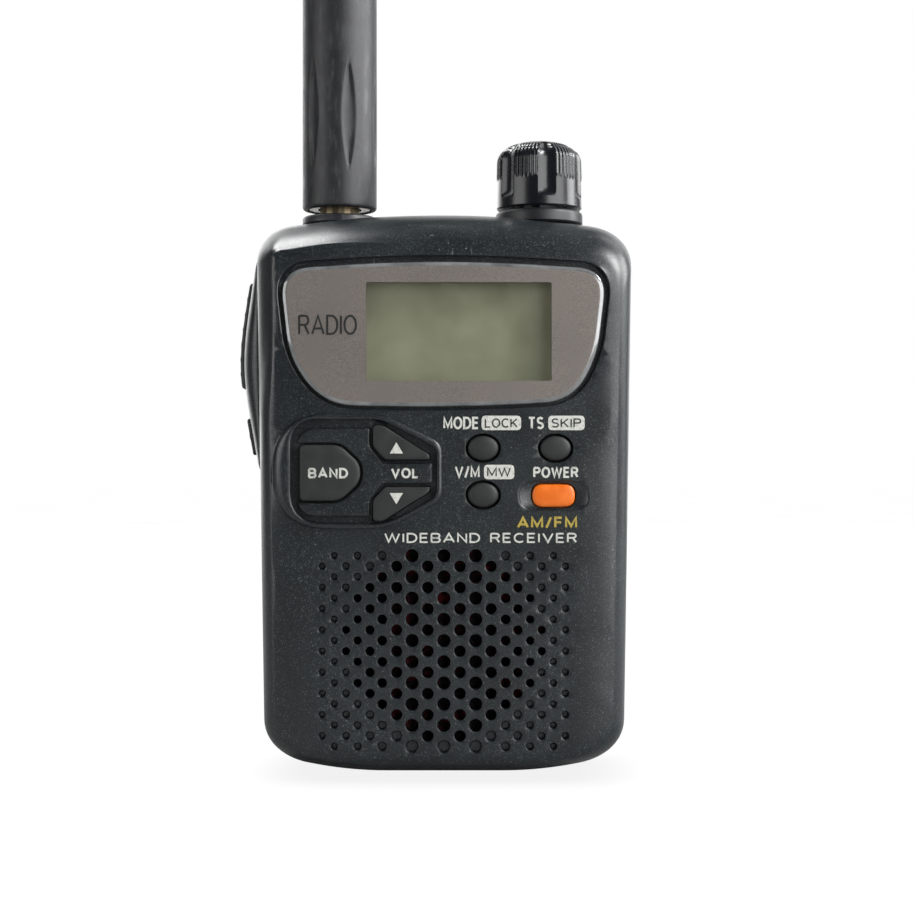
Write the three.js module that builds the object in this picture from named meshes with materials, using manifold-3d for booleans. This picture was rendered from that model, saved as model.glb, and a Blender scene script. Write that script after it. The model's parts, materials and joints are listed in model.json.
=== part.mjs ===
// A pocket communications receiver: two plastic case halves, a screw-on rubber antenna, a tuning dial,
// seven front keys, two side buttons, a battery cover with its latch, a jack cover, and what the case holds.
// Units are millimetres and +Z is up. The origin is at the bottom centre of the case, half way through
// its depth. The front faces -Y and +X is to the right of someone looking at the front.
import * as THREE from "three";
import { mergeGeometries, mergeVertices } from "three/addons/utils/BufferGeometryUtils.js";
import Module from "manifold-3d";

// ---- Driving dimensions ----

const CASE_HEIGHT = 85.6;
const FRONT_Y = -13.5;
const BACK_Y = 13.5;
const PARTING_Y = 1; // where the two halves meet
const HALF_WIDTH_LOW = 27.65; // half the case's width at its foot
const HALF_WIDTH_HIGH = 28.98; // and at its shoulders
const TOP_SAG = 1.75; // how far the arched top drops towards the shoulders
const BOTTOM_SAG = 1.2; // how far the arched bottom rises towards the corners
const BOTTOM_FLAT = 9; // half the length of the flat foot
const CORNER_TOP = 6.2;
const CORNER_BOTTOM = 6.8;
// Each rolled edge: its inset at the face, its depth, and how far the wall behind it tapers.
const FRONT_ROLL = { side: [2.6, 4.5, 1.2], top: [7.1, 9, 0.9], bottom: [1.4, 4, 1.6] };
const BACK_ROLL = { side: [4.5, 5, 0], top: [5, 6, 0], bottom: [3, 4, 0] };
const TAPER_DEPTH = 11.5; // the taper ends this far behind the face
const WALL = 1.6;
const FACE_WALL = 2;
const TOP_WALL = 2.4;
const GAP = 0.3; // between one piece and the next
const KEY_GAP = 0.25; // around a key in its hole
const KEY_TRAVEL = 0.6;

const ANTENNA_X = -16.3;
const ANTENNA_RADIUS = 5.75;
const ANTENNA_FOOT = 86.65;
const ANTENNA_TIP = 256;
const DIAL_X = 14.7;
const DIAL_RADIUS = 6.65;
const DIAL_FOOT = 86.7;
const DIAL_TIP = 97.35;
const SEAT_Z = 84; // floor of the two round seats in the top of the case

const GRILLE = { z: 20.56, rows: 19, pitch: 1.568, top: 33.8, reach: 14.7 };
const GRILLE_COLUMNS = [
  // distance of a column from the middle, and the diameter of its holes
  [0, 1.93],
  [2.38, 1.7],
  [4.7, 1.93],
  [6.97, 1.63],
  [9.12, 1.43],
  [10.93, 1.36],
  [12.75, 1.22],
  [14.47, 1.2],
];

const POD_Y = -14.5; // top of the rim around the band and volume keys
const GROOVE_Y = -12.65; // floor of the groove around them
const PLATE_Y = -13.7; // top of the plate between them
const BAND_Y = -14.3; // outer faces of the keys
const BUTTON_Y = -14.2;
const POWER_Y = -13.8;
const LENS_Y = -13.9;
const LENS_FLOOR_Y = -12.3;
const KEY_BACK_Y = -10.7;
const MAIN_BOARD_Y = -5; // rear face of the main board
const RF_BOARD_Y = 6; // front face of the radio board

const CASE_SCREWS = { low: [22.6, 7], high: [23, 77] };
const BOARD_SCREWS = [18.6, 37];
const COVER = { half: 19.5, low: 5, high: 66, inside: 11.9 };
const COVER_PIVOT = { y: 12.7, z: 5, radius: 0.8 };
const LATCH = { half: 4.2, low: 62.2, high: 64.7, travel: 2 };
const BAY = { half: 15.4, low: 5.6, high: 61, floor: -3.3, wall: 1.1 };
const CELL = { x: 7.35, y: 4.25, radius: 7.1, length: 50.5, nub: 1.3 };
const SIDE_X = 28; // floor of the pockets in the two side walls
const JACKS = { phone: 69.8, power: 61.2, radius: 3 };
const FLAP = { low: 56, high: 76, front: -4.6, hinge: 5, x: 28.2, half: 0.3 };
const FLAP_FLOOR_X = FLAP.x - FLAP.half - GAP;
const UPPER_BUTTON = { low: 58.8, high: 75.1, stem: 66.8, rise: 0.75 };
const LOWER_BUTTON = { low: 48.7, high: 54.3, stem: 51.4, rise: 0.7 };
const BUTTON_REACH_Y = 2.6; // half the width of the side buttons
const STRAP_PIN = { x: 26.4, y: 7.75, low: 7.2, high: 14.8 };
const BRIDGE_Z = 6;
const LEFT_CELL_Z = 8.6;
const RIGHT_CELL_Z = 7;

// ---- Materials ----

function finish(color, roughness, metalness = 0) {
  return new THREE.MeshStandardMaterial({ color, roughness, metalness });
}

const charcoal = finish(0x3b4041, 0.6);
const keyRubber = finish(0x38393a, 0.7);
const orange = finish(0xe37623, 0.45);
const lensAcrylic = finish(0x86807a, 0.12, 0.3);
const displayGlass = finish(0x6e705c, 0.2);
const blackRubber = finish(0x2a2b2e, 0.65);
const glossBlack = finish(0x14161b, 0.2);
const nickel = finish(0xb9b6ae, 0.25, 1);
const brass = finish(0xb08d3c, 0.3, 1);
const steel = finish(0x8d9095, 0.35, 1);
const white = finish(0xe8e8e2, 0.5);
const board = finish(0x1f5a3a, 0.5);
const chipBlack = finish(0x18191b, 0.5);
const copper = finish(0xb06a3c, 0.35, 1);
const felt = finish(0x3a1c1e, 0.95);
const paper = finish(0x1d1d1f, 0.9);
const cellWrap = finish(0x2f4a78, 0.35, 0.4);

// ---- Solids ----

const wasm = await Module();
wasm.setup();

// The triangles of a flat outline, wound as the outline is.
function capTriangles(outline) {
  const sign = Math.sign(THREE.ShapeUtils.area(outline));
  return THREE.ShapeUtils.triangulateShape(outline, []).map(([a, b, c]) => {
    const [p, q, r] = [outline[a], outline[b], outline[c]];
    const area = (q.x - p.x) * (r.y - p.y) - (q.y - p.y) * (r.x - p.x);
    return area * sign > 0 ? [a, b, c] : [a, c, b];
  });
}

// A closed skin through a row of loops, each with the same number of points and each flat in Y.
function loft(loops) {
  const count = loops[0].length;
  const index = [];
  for (let k = 0; k + 1 < loops.length; k++) {
    for (let j = 0; j < count; j++) {
      const a = k * count + j;
      const b = k * count + ((j + 1) % count);
      index.push(a, a + count, b + count, a, b + count, b);
    }
  }
  const flat = (loop) => loop.map((p) => new THREE.Vector2(p.x, p.z));
  const last = (loops.length - 1) * count;
  for (const [a, b, c] of capTriangles(flat(loops[0]))) index.push(a, b, c);
  for (const [a, b, c] of capTriangles(flat(loops.at(-1)))) index.push(last + a, last + c, last + b);
  return new THREE.BufferGeometry().setFromPoints(loops.flat()).setIndex(index);
}

// A geometry as a solid, turned outside out where its faces point inwards.
function solidOf(geometry) {
  if (geometry.userData.solid) return geometry.userData.solid;
  const bare = geometry.clone();
  for (const name of Object.keys(bare.attributes)) {
    if (name !== "position") bare.deleteAttribute(name);
  }
  const merged = mergeVertices(bare, 1e-4);
  const vertProperties = merged.attributes.position.array;
  const triVerts = new Uint32Array(merged.index.array);
  const make = () => new wasm.Manifold(new wasm.Mesh({ numProp: 3, vertProperties, triVerts }));
  const solid = make();
  if (solid.volume() > 0) return solid;
  for (let i = 0; i < triVerts.length; i += 3) {
    [triVerts[i + 1], triVerts[i + 2]] = [triVerts[i + 2], triVerts[i + 1]];
  }
  return make();
}

function geometryOf(solid) {
  const { vertProperties, triVerts } = solid.getMesh();
  const geometry = new THREE.BufferGeometry();
  geometry.setAttribute("position", new THREE.BufferAttribute(vertProperties, 3));
  geometry.setIndex(new THREE.BufferAttribute(triVerts, 1));
  geometry.userData.solid = solid;
  return geometry;
}

function cut(base, ...tools) {
  return geometryOf(tools.reduce((solid, tool) => solid.subtract(solidOf(tool)), solidOf(base)));
}

function join(base, ...others) {
  return geometryOf(others.reduce((solid, other) => solid.add(solidOf(other)), solidOf(base)));
}

function common(base, other) {
  return geometryOf(solidOf(base).intersect(solidOf(other)));
}

// Several bodies that don't touch, as one cutting tool.
function together(tools) {
  return mergeGeometries(tools.map((tool) => solidOf(tool)).map(geometryOf));
}

function box(x0, x1, y0, y1, z0, z1) {
  const geometry = new THREE.BoxGeometry(x1 - x0, y1 - y0, z1 - z0);
  return geometry.translate((x0 + x1) / 2, (y0 + y1) / 2, (z0 + z1) / 2);
}

function rodX(y, z, x0, x1, radius, sides = 16) {
  const geometry = new THREE.CylinderGeometry(radius, radius, x1 - x0, sides);
  return geometry.rotateZ(Math.PI / 2).translate((x0 + x1) / 2, y, z);
}

function rodY(x, z, y0, y1, radius, sides = 16) {
  const geometry = new THREE.CylinderGeometry(radius, radius, y1 - y0, sides);
  return geometry.translate(x, (y0 + y1) / 2, z);
}

function rodZ(x, y, z0, z1, radius, sides = 16) {
  const geometry = new THREE.CylinderGeometry(radius, radius, z1 - z0, sides);
  return geometry.rotateX(Math.PI / 2).translate(x, y, (z0 + z1) / 2);
}

// A profile of [radius, z] points turned about a vertical axis.
function turnedZ(profile, x, y, sides) {
  const points = profile.map(([radius, z]) => new THREE.Vector2(radius, z));
  return new THREE.LatheGeometry(points, sides).rotateX(Math.PI / 2).translate(x, y, 0);
}

// A profile of [radius, y] points turned about an axis that runs front to back.
function turnedY(profile, x, z, sides) {
  const points = profile.map(([radius, y]) => new THREE.Vector2(radius, y));
  return new THREE.LatheGeometry(points, sides).translate(x, 0, z);
}

// An outline in X and Z, made into a plate between two depths.
function plate(shape, y0, y1, curveSegments = 4) {
  const geometry = new THREE.ExtrudeGeometry(shape, { depth: y1 - y0, bevelEnabled: false, curveSegments });
  return geometry.rotateX(Math.PI / 2).translate(0, y1, 0);
}

// A closed outline through corners given as [x, z, how far back its rounding starts].
function roundedOutline(corners) {
  const shape = new THREE.Shape();
  const point = ([x, z]) => new THREE.Vector2(x, z);
  corners.forEach((corner, i) => {
    const here = point(corner);
    const before = point(corners.at(i - 1));
    const after = point(corners[(i + 1) % corners.length]);
    const start = here.clone().add(before.sub(here).setLength(corner[2]));
    const end = here.clone().add(after.sub(here).setLength(corner[2]));
    if (i === 0) shape.moveTo(start.x, start.y);
    else shape.lineTo(start.x, start.y);
    shape.quadraticCurveTo(here.x, here.y, end.x, end.y);
  });
  shape.closePath();
  return shape;
}

function roundedBox(x0, x1, z0, z1, round) {
  return roundedOutline([
    [x0, z0, round],
    [x1, z0, round],
    [x1, z1, round],
    [x0, z1, round],
  ]);
}

function ellipse(x, z, halfWidth, halfHeight) {
  return new THREE.Shape().absellipse(x, z, halfWidth, halfHeight, 0, 2 * Math.PI);
}

// A round wire along a curve.
function wire(curve, radius, steps, sides = 5) {
  const section = new THREE.Shape();
  for (let i = 0; i < sides; i++) {
    const angle = (2 * Math.PI * i) / sides;
    const [x, y] = [radius * Math.cos(angle), radius * Math.sin(angle)];
    if (i === 0) section.moveTo(x, y);
    else section.lineTo(x, y);
  }
  section.closePath();
  return new THREE.ExtrudeGeometry(section, { extrudePath: curve, steps, bevelEnabled: false });
}

class Helix extends THREE.Curve {
  constructor(x, y, z0, z1, radius, turns) {
    super();
    Object.assign(this, { x, y, z0, z1, radius, turns });
  }
  getPoint(t, target = new THREE.Vector3()) {
    const angle = 2 * Math.PI * this.turns * t;
    const [x, y] = [this.radius * Math.cos(angle), this.radius * Math.sin(angle)];
    return target.set(this.x + x, this.y + y, this.z0 + (this.z1 - this.z0) * t);
  }
}

// ---- The case's outer form ----

function halfWidthAt(z) {
  return HALF_WIDTH_LOW + ((HALF_WIDTH_HIGH - HALF_WIDTH_LOW) * z) / CASE_HEIGHT;
}

function topAt(x) {
  return CASE_HEIGHT - TOP_SAG * (x / (HALF_WIDTH_HIGH - CORNER_TOP)) ** 2;
}

function bottomAt(x) {
  const beyond = Math.max(0, Math.abs(x) - BOTTOM_FLAT);
  return BOTTOM_SAG * (beyond / (HALF_WIDTH_LOW - CORNER_BOTTOM - BOTTOM_FLAT)) ** 2;
}

// A quarter bend from one point to another, leaving each along its own direction.
function bend(from, fromWay, to, toWay, reach, steps) {
  const curve = new THREE.CubicBezierCurve(
    from,
    from.clone().addScaledVector(fromWay, reach),
    to.clone().addScaledVector(toWay, -reach),
    to,
  );
  return curve.getPoints(steps);
}

// The right half of the outline, from the foot's middle to the top's middle, set in by three amounts.
function halfOutline(side, top, bottom) {
  const low = CORNER_BOTTOM - side * 0.3;
  const high = CORNER_TOP;
  const foot = HALF_WIDTH_LOW - side - low;
  const head = HALF_WIDTH_HIGH - side - high;
  const v = (x, z) => new THREE.Vector2(x, z);
  const lean = v((HALF_WIDTH_HIGH - HALF_WIDTH_LOW) / CASE_HEIGHT, 1).normalize();
  const wallLow = bottomAt(foot) + bottom + low;
  const wallHigh = topAt(head) - top - high;
  const footSlope = v(1, bottomAt(foot) - bottomAt(foot - 1)).normalize();
  const headSlope = v(-1, topAt(head - 1) - topAt(head)).normalize();
  const cornerLow = bend(
    v(foot, bottomAt(foot) + bottom),
    footSlope,
    v(halfWidthAt(wallLow) - side, wallLow),
    lean,
    low * 0.55,
    6,
  );
  const cornerHigh = bend(
    v(halfWidthAt(wallHigh) - side, wallHigh),
    lean,
    v(head, topAt(head) - top),
    headSlope,
    high * 0.55,
    6,
  );
  const middle = (foot + BOTTOM_FLAT) / 2;
  return [
    v(BOTTOM_FLAT, bottom),
    v(middle, bottomAt(middle) + bottom),
    ...cornerLow,
    ...cornerHigh,
    v(head * 0.6, topAt(head * 0.6) - top),
    v(head * 0.2, topAt(head * 0.2) - top),
  ];
}

function caseLoop(side, top, bottom, y) {
  const right = halfOutline(side, top, bottom).map((p) => new THREE.Vector3(p.x, y, p.y));
  const left = right.map((p) => new THREE.Vector3(-p.x, y, p.z)).reverse();
  return [...right, ...left];
}

// How far a rounded edge is set in, at a distance behind the face it rolls into.
function rollInset([inset, depth, taper], behind) {
  const share = 1 - Math.min(behind / depth, 1);
  const narrowed = taper * (1 - Math.min(behind / TAPER_DEPTH, 1));
  return inset * (1 - Math.sqrt(1 - share * share)) + narrowed;
}

// The form of one half: loops at distances behind its face, set in by a wall's thickness.
function caseForm(roll, faceY, away, levels, wall = 0, topWall = 0) {
  return loft(
    levels.map((behind) => {
      const side = rollInset(roll.side, behind) + wall;
      const top = rollInset(roll.top, behind) + topWall;
      const bottom = rollInset(roll.bottom, behind) + wall;
      return caseLoop(side, top, bottom, faceY + away * behind);
    }),
  );
}

const OUTER_LEVELS = [0, 0.2, 0.9, 2.2, 4.5, 9, TAPER_DEPTH];
const INNER_LEVELS = [FACE_WALL, 3, 4.5, 9, TAPER_DEPTH];

// A half of the case: its form less its cavity, from its face to the parting plane.
function halfShell(roll, faceY, away) {
  const deep = Math.abs(PARTING_Y - faceY);
  const outer = caseForm(roll, faceY, away, [...OUTER_LEVELS, deep - GAP / 2]);
  const cavity = caseForm(roll, faceY, away, [...INNER_LEVELS, deep + 1], WALL, TOP_WALL);
  return { outer, shell: cut(outer, cavity) };
}

// ---- Outlines of the front ----

const LENS_CORNERS = [
  [-24.4, 76.2, 4.6],
  [-1, 77.7, 14],
  [24.2, 76.2, 4.6],
  [22.7, 63.5, 3.3],
  [19, 56.6, 4.3],
  [0, 55.6, 12],
  [-17.8, 56.1, 4.6],
  [-22.9, 63, 3.8],
];
const POD_CORNERS = [
  [-25.4, 54.9, 7],
  [-9.3, 54.8, 2.5],
  [-0.3, 50.4, 1.6],
  [-0.3, 42.0, 1.6],
  [-8.4, 37.8, 2.5],
  [-25.4, 37.6, 7],
];
const GROOVE_CORNERS = [
  [-22.7, 54.05, 4.2],
  [-9.2, 54.05, 1.6],
  [-0.95, 49.8, 1.2],
  [-0.95, 42.5, 1.4],
  [-8.4, 38.5, 2],
  [-22.7, 38.5, 5],
];
// The plate between the band and volume keys, which reaches the groove only where no key does.
const PLATE_CORNERS = [
  [-21.75, 50.5, 0.4],
  [-15.2, 50.5, 1.2],
  [-11.9, 47.5, 1.3],
  [-11.9, 44.6, 1.3],
  [-15.2, 41.6, 1.2],
  [-21.75, 41.6, 0.4],
  [-20.6, 39.65, 1.4],
  [-10.95, 39.65, 0.3],
  [-10.95, 41.9, 0.3],
  [-9.0, 44.5, 0.3],
  [-1.75, 44.5, 0.3],
  [-1.75, 47.5, 0.3],
  [-9.0, 47.5, 0.3],
  [-10.95, 50.1, 0.3],
  [-10.95, 52.65, 0.3],
  [-20.6, 52.65, 1.4],
];
const BAND_CORNERS = [
  [-21.3, 41.9, 0.8],
  [-15.3, 41.9, 1],
  [-12.2, 44.7, 1.2],
  [-12.2, 47.4, 1.2],
  [-15.3, 50.2, 1],
  [-21.3, 50.2, 0.8],
];
const VOLUME_Z = 46;
const VOLUME_CORNERS = [
  // the upper volume key; the lower one is its mirror image about VOLUME_Z
  [-10.7, 53.1, 0.7],
  [-9.2, 53.1, 0.6],
  [-2.1, 48.5, 0.3],
  [-2.1, 47.8, 0.25],
  [-8.9, 47.8, 0.4],
  [-10.7, 49.8, 0.6],
];
const WINDOW = [-11.7, 16.1, 59.45, 74.4];
const MODE_KEY = [5.8, 49.7];
const STEP_KEY = [16.5, 49.7];
const MEMORY_KEY = [5.8, 42.8];
const POWER_KEY = [16.2, 42.7];
const BUTTON_SIZE = [2.25, 1.8];
const POWER_SIZE = [3.15, 1.65];

// The same corners moved outwards from their middle by a distance.
function grown(corners, by) {
  const middle = [0, 1].map((k) => corners.reduce((sum, c) => sum + c[k], 0) / corners.length);
  const spans = [0, 1].map((k) => Math.max(...corners.map((c) => Math.abs(c[k] - middle[k]))));
  return corners.map(([x, z, round]) => [
    middle[0] + (x - middle[0]) * (1 + by / spans[0]),
    middle[1] + (z - middle[1]) * (1 + by / spans[1]),
    round,
  ]);
}

function mirroredVolume(corners) {
  return corners.map(([x, z, round]) => [x, 2 * VOLUME_Z - z, round]).reverse();
}

function buttonOutline([x, z], extra = 0) {
  return ellipse(x, z, BUTTON_SIZE[0] + extra, BUTTON_SIZE[1] + extra);
}

function powerOutline(extra = 0) {
  const [x, z] = POWER_KEY;
  const [w, h] = POWER_SIZE.map((size) => size + extra);
  return roundedBox(x - w, x + w, z - h, z + h, h * 0.8);
}

// ---- Cutting tools shared by the two case halves ----

function grilleHoles() {
  const holes = [];
  for (let row = 0; row < GRILLE.rows; row++) {
    const z = GRILLE.top - row * GRILLE.pitch;
    GRILLE_COLUMNS.forEach(([x, diameter], column) => {
      if (column % 2 !== row % 2) return;
      for (const side of x === 0 ? [1] : [-1, 1]) {
        if (Math.hypot(x, z - GRILLE.z) > GRILLE.reach) continue;
        holes.push(rodY(side * x, z, FRONT_Y - 1, FRONT_Y + FACE_WALL + 1, diameter / 2, 6));
      }
    });
  }
  return together(holes);
}

function screwPlaces() {
  return [CASE_SCREWS.low, CASE_SCREWS.high].flatMap(([x, z]) => [
    [x, z],
    [-x, z],
  ]);
}

// The pockets and holes that the top, the left side and the right side take out of both halves.
function edgeOpenings() {
  const reach = SIDE_X + 5;
  return [
    rodZ(ANTENNA_X, 0, SEAT_Z, CASE_HEIGHT + 2, 6.05, 24),
    rodZ(ANTENNA_X, 0, SEAT_Z - 4, SEAT_Z + 1, 3.4, 16),
    rodZ(DIAL_X, 0, SEAT_Z, CASE_HEIGHT + 2, DIAL_RADIUS + 0.4, 24),
    rodZ(DIAL_X, 0, SEAT_Z - 4, SEAT_Z + 1, 3.7, 16),
    box(-reach, -SIDE_X, -6.8, 6.8, 46.1, 78.1),
    rodX(0, UPPER_BUTTON.stem, -reach, -SIDE_X + 3, 1.3, 8),
    rodX(0, LOWER_BUTTON.stem, -reach, -SIDE_X + 3, 1.3, 8),
    box(FLAP_FLOOR_X, reach, FLAP.front - GAP, FLAP.hinge + 0.6, FLAP.low - GAP, FLAP.high + GAP),
    rodX(0, JACKS.phone, SIDE_X - 3, reach, JACKS.radius),
    rodX(0, JACKS.power, SIDE_X - 3, reach, JACKS.radius),
  ];
}

// ---- Case ----

function frontCase() {
  const { shell } = halfShell(FRONT_ROLL, FRONT_Y, 1);
  const face = FRONT_Y + FACE_WALL;
  const bosses = screwPlaces().map(([x, z]) => rodY(x, z, face - 0.5, PARTING_Y - GAP / 2, 2.1, 12));
  const boardBosses = [-1, 1].map((side) =>
    rodY(side * BOARD_SCREWS[0], BOARD_SCREWS[1], face - 0.5, MAIN_BOARD_Y - 1.3, 1.6, 10),
  );
  const pod = plate(roundedOutline(POD_CORNERS), POD_Y, FRONT_Y + 0.5, 3);
  const joined = join(shell, pod, ...bosses, ...boardBosses);
  const through = (shape, steps) => plate(shape, POD_Y - 1, face + 0.2, steps);
  return cut(
    joined,
    together(screwPlaces().map(([x, z]) => rodY(x, z, face + 2, PARTING_Y + 1, 1.05, 8))),
    together([-1, 1].map((side) => rodY(side * BOARD_SCREWS[0], BOARD_SCREWS[1], face + 1, 1, 0.75, 6))),
    plate(roundedOutline(grown(LENS_CORNERS, 0.8)), FRONT_Y - 2, LENS_FLOOR_Y, 4),
    through(roundedBox(...WINDOW, 0.4), 1),
    cut(
      plate(roundedOutline(GROOVE_CORNERS), POD_Y - 1, GROOVE_Y, 3),
      plate(roundedOutline(PLATE_CORNERS), PLATE_Y, GROOVE_Y + 1, 2),
    ),
    through(roundedOutline(grown(BAND_CORNERS, KEY_GAP)), 2),
    through(roundedOutline(grown(VOLUME_CORNERS, KEY_GAP)), 1),
    through(roundedOutline(mirroredVolume(grown(VOLUME_CORNERS, KEY_GAP))), 1),
    through(buttonOutline(MODE_KEY, KEY_GAP), 5),
    through(buttonOutline(STEP_KEY, KEY_GAP), 5),
    through(buttonOutline(MEMORY_KEY, KEY_GAP), 5),
    through(powerOutline(KEY_GAP), 3),
    plate(roundedBox(11.3, 21.8, 40.8, 44.6, 1.8), FRONT_Y - 1, FRONT_Y + 0.7, 3),
    grilleHoles(),
    ...edgeOpenings(),
  );
}

function rearCase() {
  const { outer, shell } = halfShell(BACK_ROLL, BACK_Y, -1);
  const half = BAY.half + BAY.wall;
  const ledge = box(-COVER.half - 1.7, COVER.half + 1.7, 9.6, BACK_Y, 1, COVER.high + 2);
  const posts = screwPlaces().map(([x, z]) => rodY(x, z, PARTING_Y + 1, BACK_Y, 2.9, 12));
  const inside = common(outer, join(ledge, ...posts));
  const trough = box(-half, half, BAY.floor - 1, 10, BAY.low - BAY.wall, BAY.high + BAY.wall);
  const body = join(shell, inside, trough);
  const recessLow = COVER_PIVOT.z - COVER_PIVOT.radius - GAP;
  const edge = COVER.half + GAP;
  return cut(
    body,
    together(screwPlaces().map(([x, z]) => rodY(x, z, -1, BACK_Y + 1, 1.2, 8))),
    together(screwPlaces().map(([x, z]) => rodY(x, z, 9.3, BACK_Y + 1, 2.15, 12))),
    box(-edge, edge, COVER.inside - GAP, BACK_Y + 1, recessLow, COVER.high + GAP),
    box(-BAY.half, BAY.half, BAY.floor, BACK_Y, BAY.low, BAY.high),
    box(-6, 6, 10.5, BACK_Y, LATCH.low - 3.2, COVER.high + GAP),
    rodX(COVER_PIVOT.y, COVER_PIVOT.z, -edge - 1, edge + 1, 0.7, 8),
    box(24, 32, 6, 9.5, 8, 14),
    rodZ(STRAP_PIN.x, STRAP_PIN.y, 7, 15, 0.8, 8),
    ...edgeOpenings(),
  );
}

function strapPin() {
  return rodZ(STRAP_PIN.x, STRAP_PIN.y, STRAP_PIN.low, STRAP_PIN.high, 0.6, 8);
}

function caseScrew([x, z]) {
  const profile = [
    [0, 10.9],
    [1.85, 10.9],
    [1.85, 9.6],
    [0.85, 9.6],
    [0.85, -8],
    [0, -8.6],
  ];
  const across = box(x - 1, x + 1, 10.3, 11.5, z - 0.2, z + 0.2);
  const upright = box(x - 0.2, x + 0.2, 10.3, 11.5, z - 1, z + 1);
  return cut(turnedY(profile, x, z, 10), join(across, upright));
}

function boardScrew(side) {
  const profile = [
    [0, -3.9],
    [1.3, -3.9],
    [1.3, -4.7],
    [0.55, -4.7],
    [0.55, -10],
    [0, -10.3],
  ];
  return turnedY(profile, side * BOARD_SCREWS[0], BOARD_SCREWS[1], 8);
}

function batteryCover() {
  const { half, low, high, inside } = COVER;
  const { y, z, radius } = COVER_PIVOT;
  const panel = box(-half, half, inside, BACK_Y, low, high);
  const knuckle = rodX(y, z, -half, half, radius, 16);
  const stubs = rodX(y, z, -half - 1, half + 1, 0.5, 8);
  const opening = box(
    -LATCH.half - GAP,
    LATCH.half + GAP,
    inside - 1,
    BACK_Y + 1,
    LATCH.low - LATCH.travel - GAP,
    LATCH.high + GAP,
  );
  return cut(join(panel, knuckle, stubs), opening);
}

function coverLatch() {
  const { half, low, high } = LATCH;
  const pad = box(-half, half, 11.3, 13.3, low, high);
  const flange = box(-half - 1.3, half + 1.3, 10.9, 11.6, low - 0.7, COVER.high - 0.1);
  const grooves = [0, 1, 2].map((i) => {
    const z = low + 0.5 + i * 0.7;
    return box(-half + 0.5, half - 0.5, 13, 14, z, z + 0.3);
  });
  return cut(join(pad, flange), together(grooves));
}

function displayLens() {
  return plate(roundedOutline(LENS_CORNERS), LENS_Y, LENS_FLOOR_Y - GAP, 6);
}

// ---- Display, keys and boards ----

function lcdPanel() {
  return box(-14, 18.4, -11.2, -9.4, 57.5, 76.3);
}

function lcdFrame() {
  return cut(box(-16.2, 20.4, -9.1, -7.4, 55.8, 78), box(-14.2, 18.6, -10, -7, 57.3, 76.5));
}

function lightGuide() {
  return box(-13.9, 18.3, -9.1, -7.7, 59.2, 76.2);
}

function zebraStrip() {
  return box(-12, 16.4, -9.1, -6.3, 57.6, 58.9);
}

const KEY_CENTRES = [[-17, 46], [-7.4, 50.2], [-7.4, 41.8], MODE_KEY, STEP_KEY, MEMORY_KEY, POWER_KEY];

function keypadMat() {
  const sheet = box(-22.6, 20.3, -9.9, -9, 39.4, 54.6);
  const domes = KEY_CENTRES.map(([x, z]) => rodY(x, z, -9.5, MAIN_BOARD_Y - 1.3, 1.6, 8));
  return join(sheet, ...domes);
}

// A key: its cap through the face, and a lip behind the face that keeps it in.
function key(shape, lip, outerY, steps) {
  const inner = FRONT_Y + FACE_WALL + GAP;
  return join(plate(shape, outerY, KEY_BACK_Y, steps), plate(lip, inner, KEY_BACK_Y, steps));
}

function bandKey() {
  const lip = roundedOutline(grown(BAND_CORNERS, 0.7));
  return key(roundedOutline(BAND_CORNERS), lip, BAND_Y, 3);
}

function volumeKey(corners) {
  return key(roundedOutline(corners), roundedOutline(grown(corners, 0.7)), BAND_Y, 2);
}

function buttonKey(place) {
  return key(buttonOutline(place), buttonOutline(place, 0.7), BUTTON_Y, 6);
}

function powerKey() {
  return key(powerOutline(), powerOutline(0.7), POWER_Y, 3);
}

function mainBoard() {
  const sheet = box(-20, 20, MAIN_BOARD_Y - 1, MAIN_BOARD_Y, 3.6, 80);
  const holes = [-1, 1].map((side) => rodY(side * BOARD_SCREWS[0], BOARD_SCREWS[1], -7, -4, 0.8, 6));
  return cut(sheet, together(holes));
}

function processorChip() {
  return box(-10, -1, MAIN_BOARD_Y + GAP, MAIN_BOARD_Y + 1.8, 64.5, 73.5);
}

function rfBoard() {
  return box(-19.7, 19.7, RF_BOARD_Y, RF_BOARD_Y + 1, 63.3, 80.6);
}

function boardConnector() {
  return box(1.5, 11, MAIN_BOARD_Y + GAP, RF_BOARD_Y - GAP, 64, 67);
}

function rfShield() {
  const y = RF_BOARD_Y + 1 + GAP;
  return cut(box(-17, 6, y, y + 3.4, 68.6, 79.6), box(-16.5, 5.5, y - 1, y + 2.9, 69.1, 79.1));
}

// ---- Speaker ----

function speakerFelt() {
  return rodY(0, GRILLE.z, -11.2, -10.9, 16.3, 20);
}

function speakerFrame() {
  const profile = [
    [14.7, -10.6],
    [16.5, -10.6],
    [16.5, -9.9],
    [9, -8.4],
    [6, -8.4],
    [6, -8.8],
    [8.8, -8.8],
    [14.7, -10.1],
    [14.7, -10.6],
  ];
  return turnedY(profile, 0, GRILLE.z, 20);
}

function speakerCone() {
  const profile = [
    [0, -9.3],
    [4, -9.3],
    [14.3, -10.6],
    [14.3, -10.4],
    [4, -9.1],
    [0, -9.1],
  ];
  return turnedY(profile, 0, GRILLE.z, 16);
}

function speakerMagnet() {
  return rodY(0, GRILLE.z, -8.1, -6.35, 7.6, 16);
}

function speakerCable() {
  const curve = new THREE.CatmullRomCurve3([
    new THREE.Vector3(8.2, -7.2, 22),
    new THREE.Vector3(12, -7.2, 26),
    new THREE.Vector3(16, -7, 27),
    new THREE.Vector3(18.8, -6.7, 29.5),
  ]);
  return wire(curve, 0.35, 8);
}

// ---- Side controls and jacks ----

// The bulged outline of the left side, from its foot to its head, set out by an amount.
function bulge(out) {
  const v = (x, z) => new THREE.Vector2(x - out, z);
  return new THREE.QuadraticBezierCurve(v(-28.45, 46.4), v(-33.1, 63.5), v(-29, 77.8));
}

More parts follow.
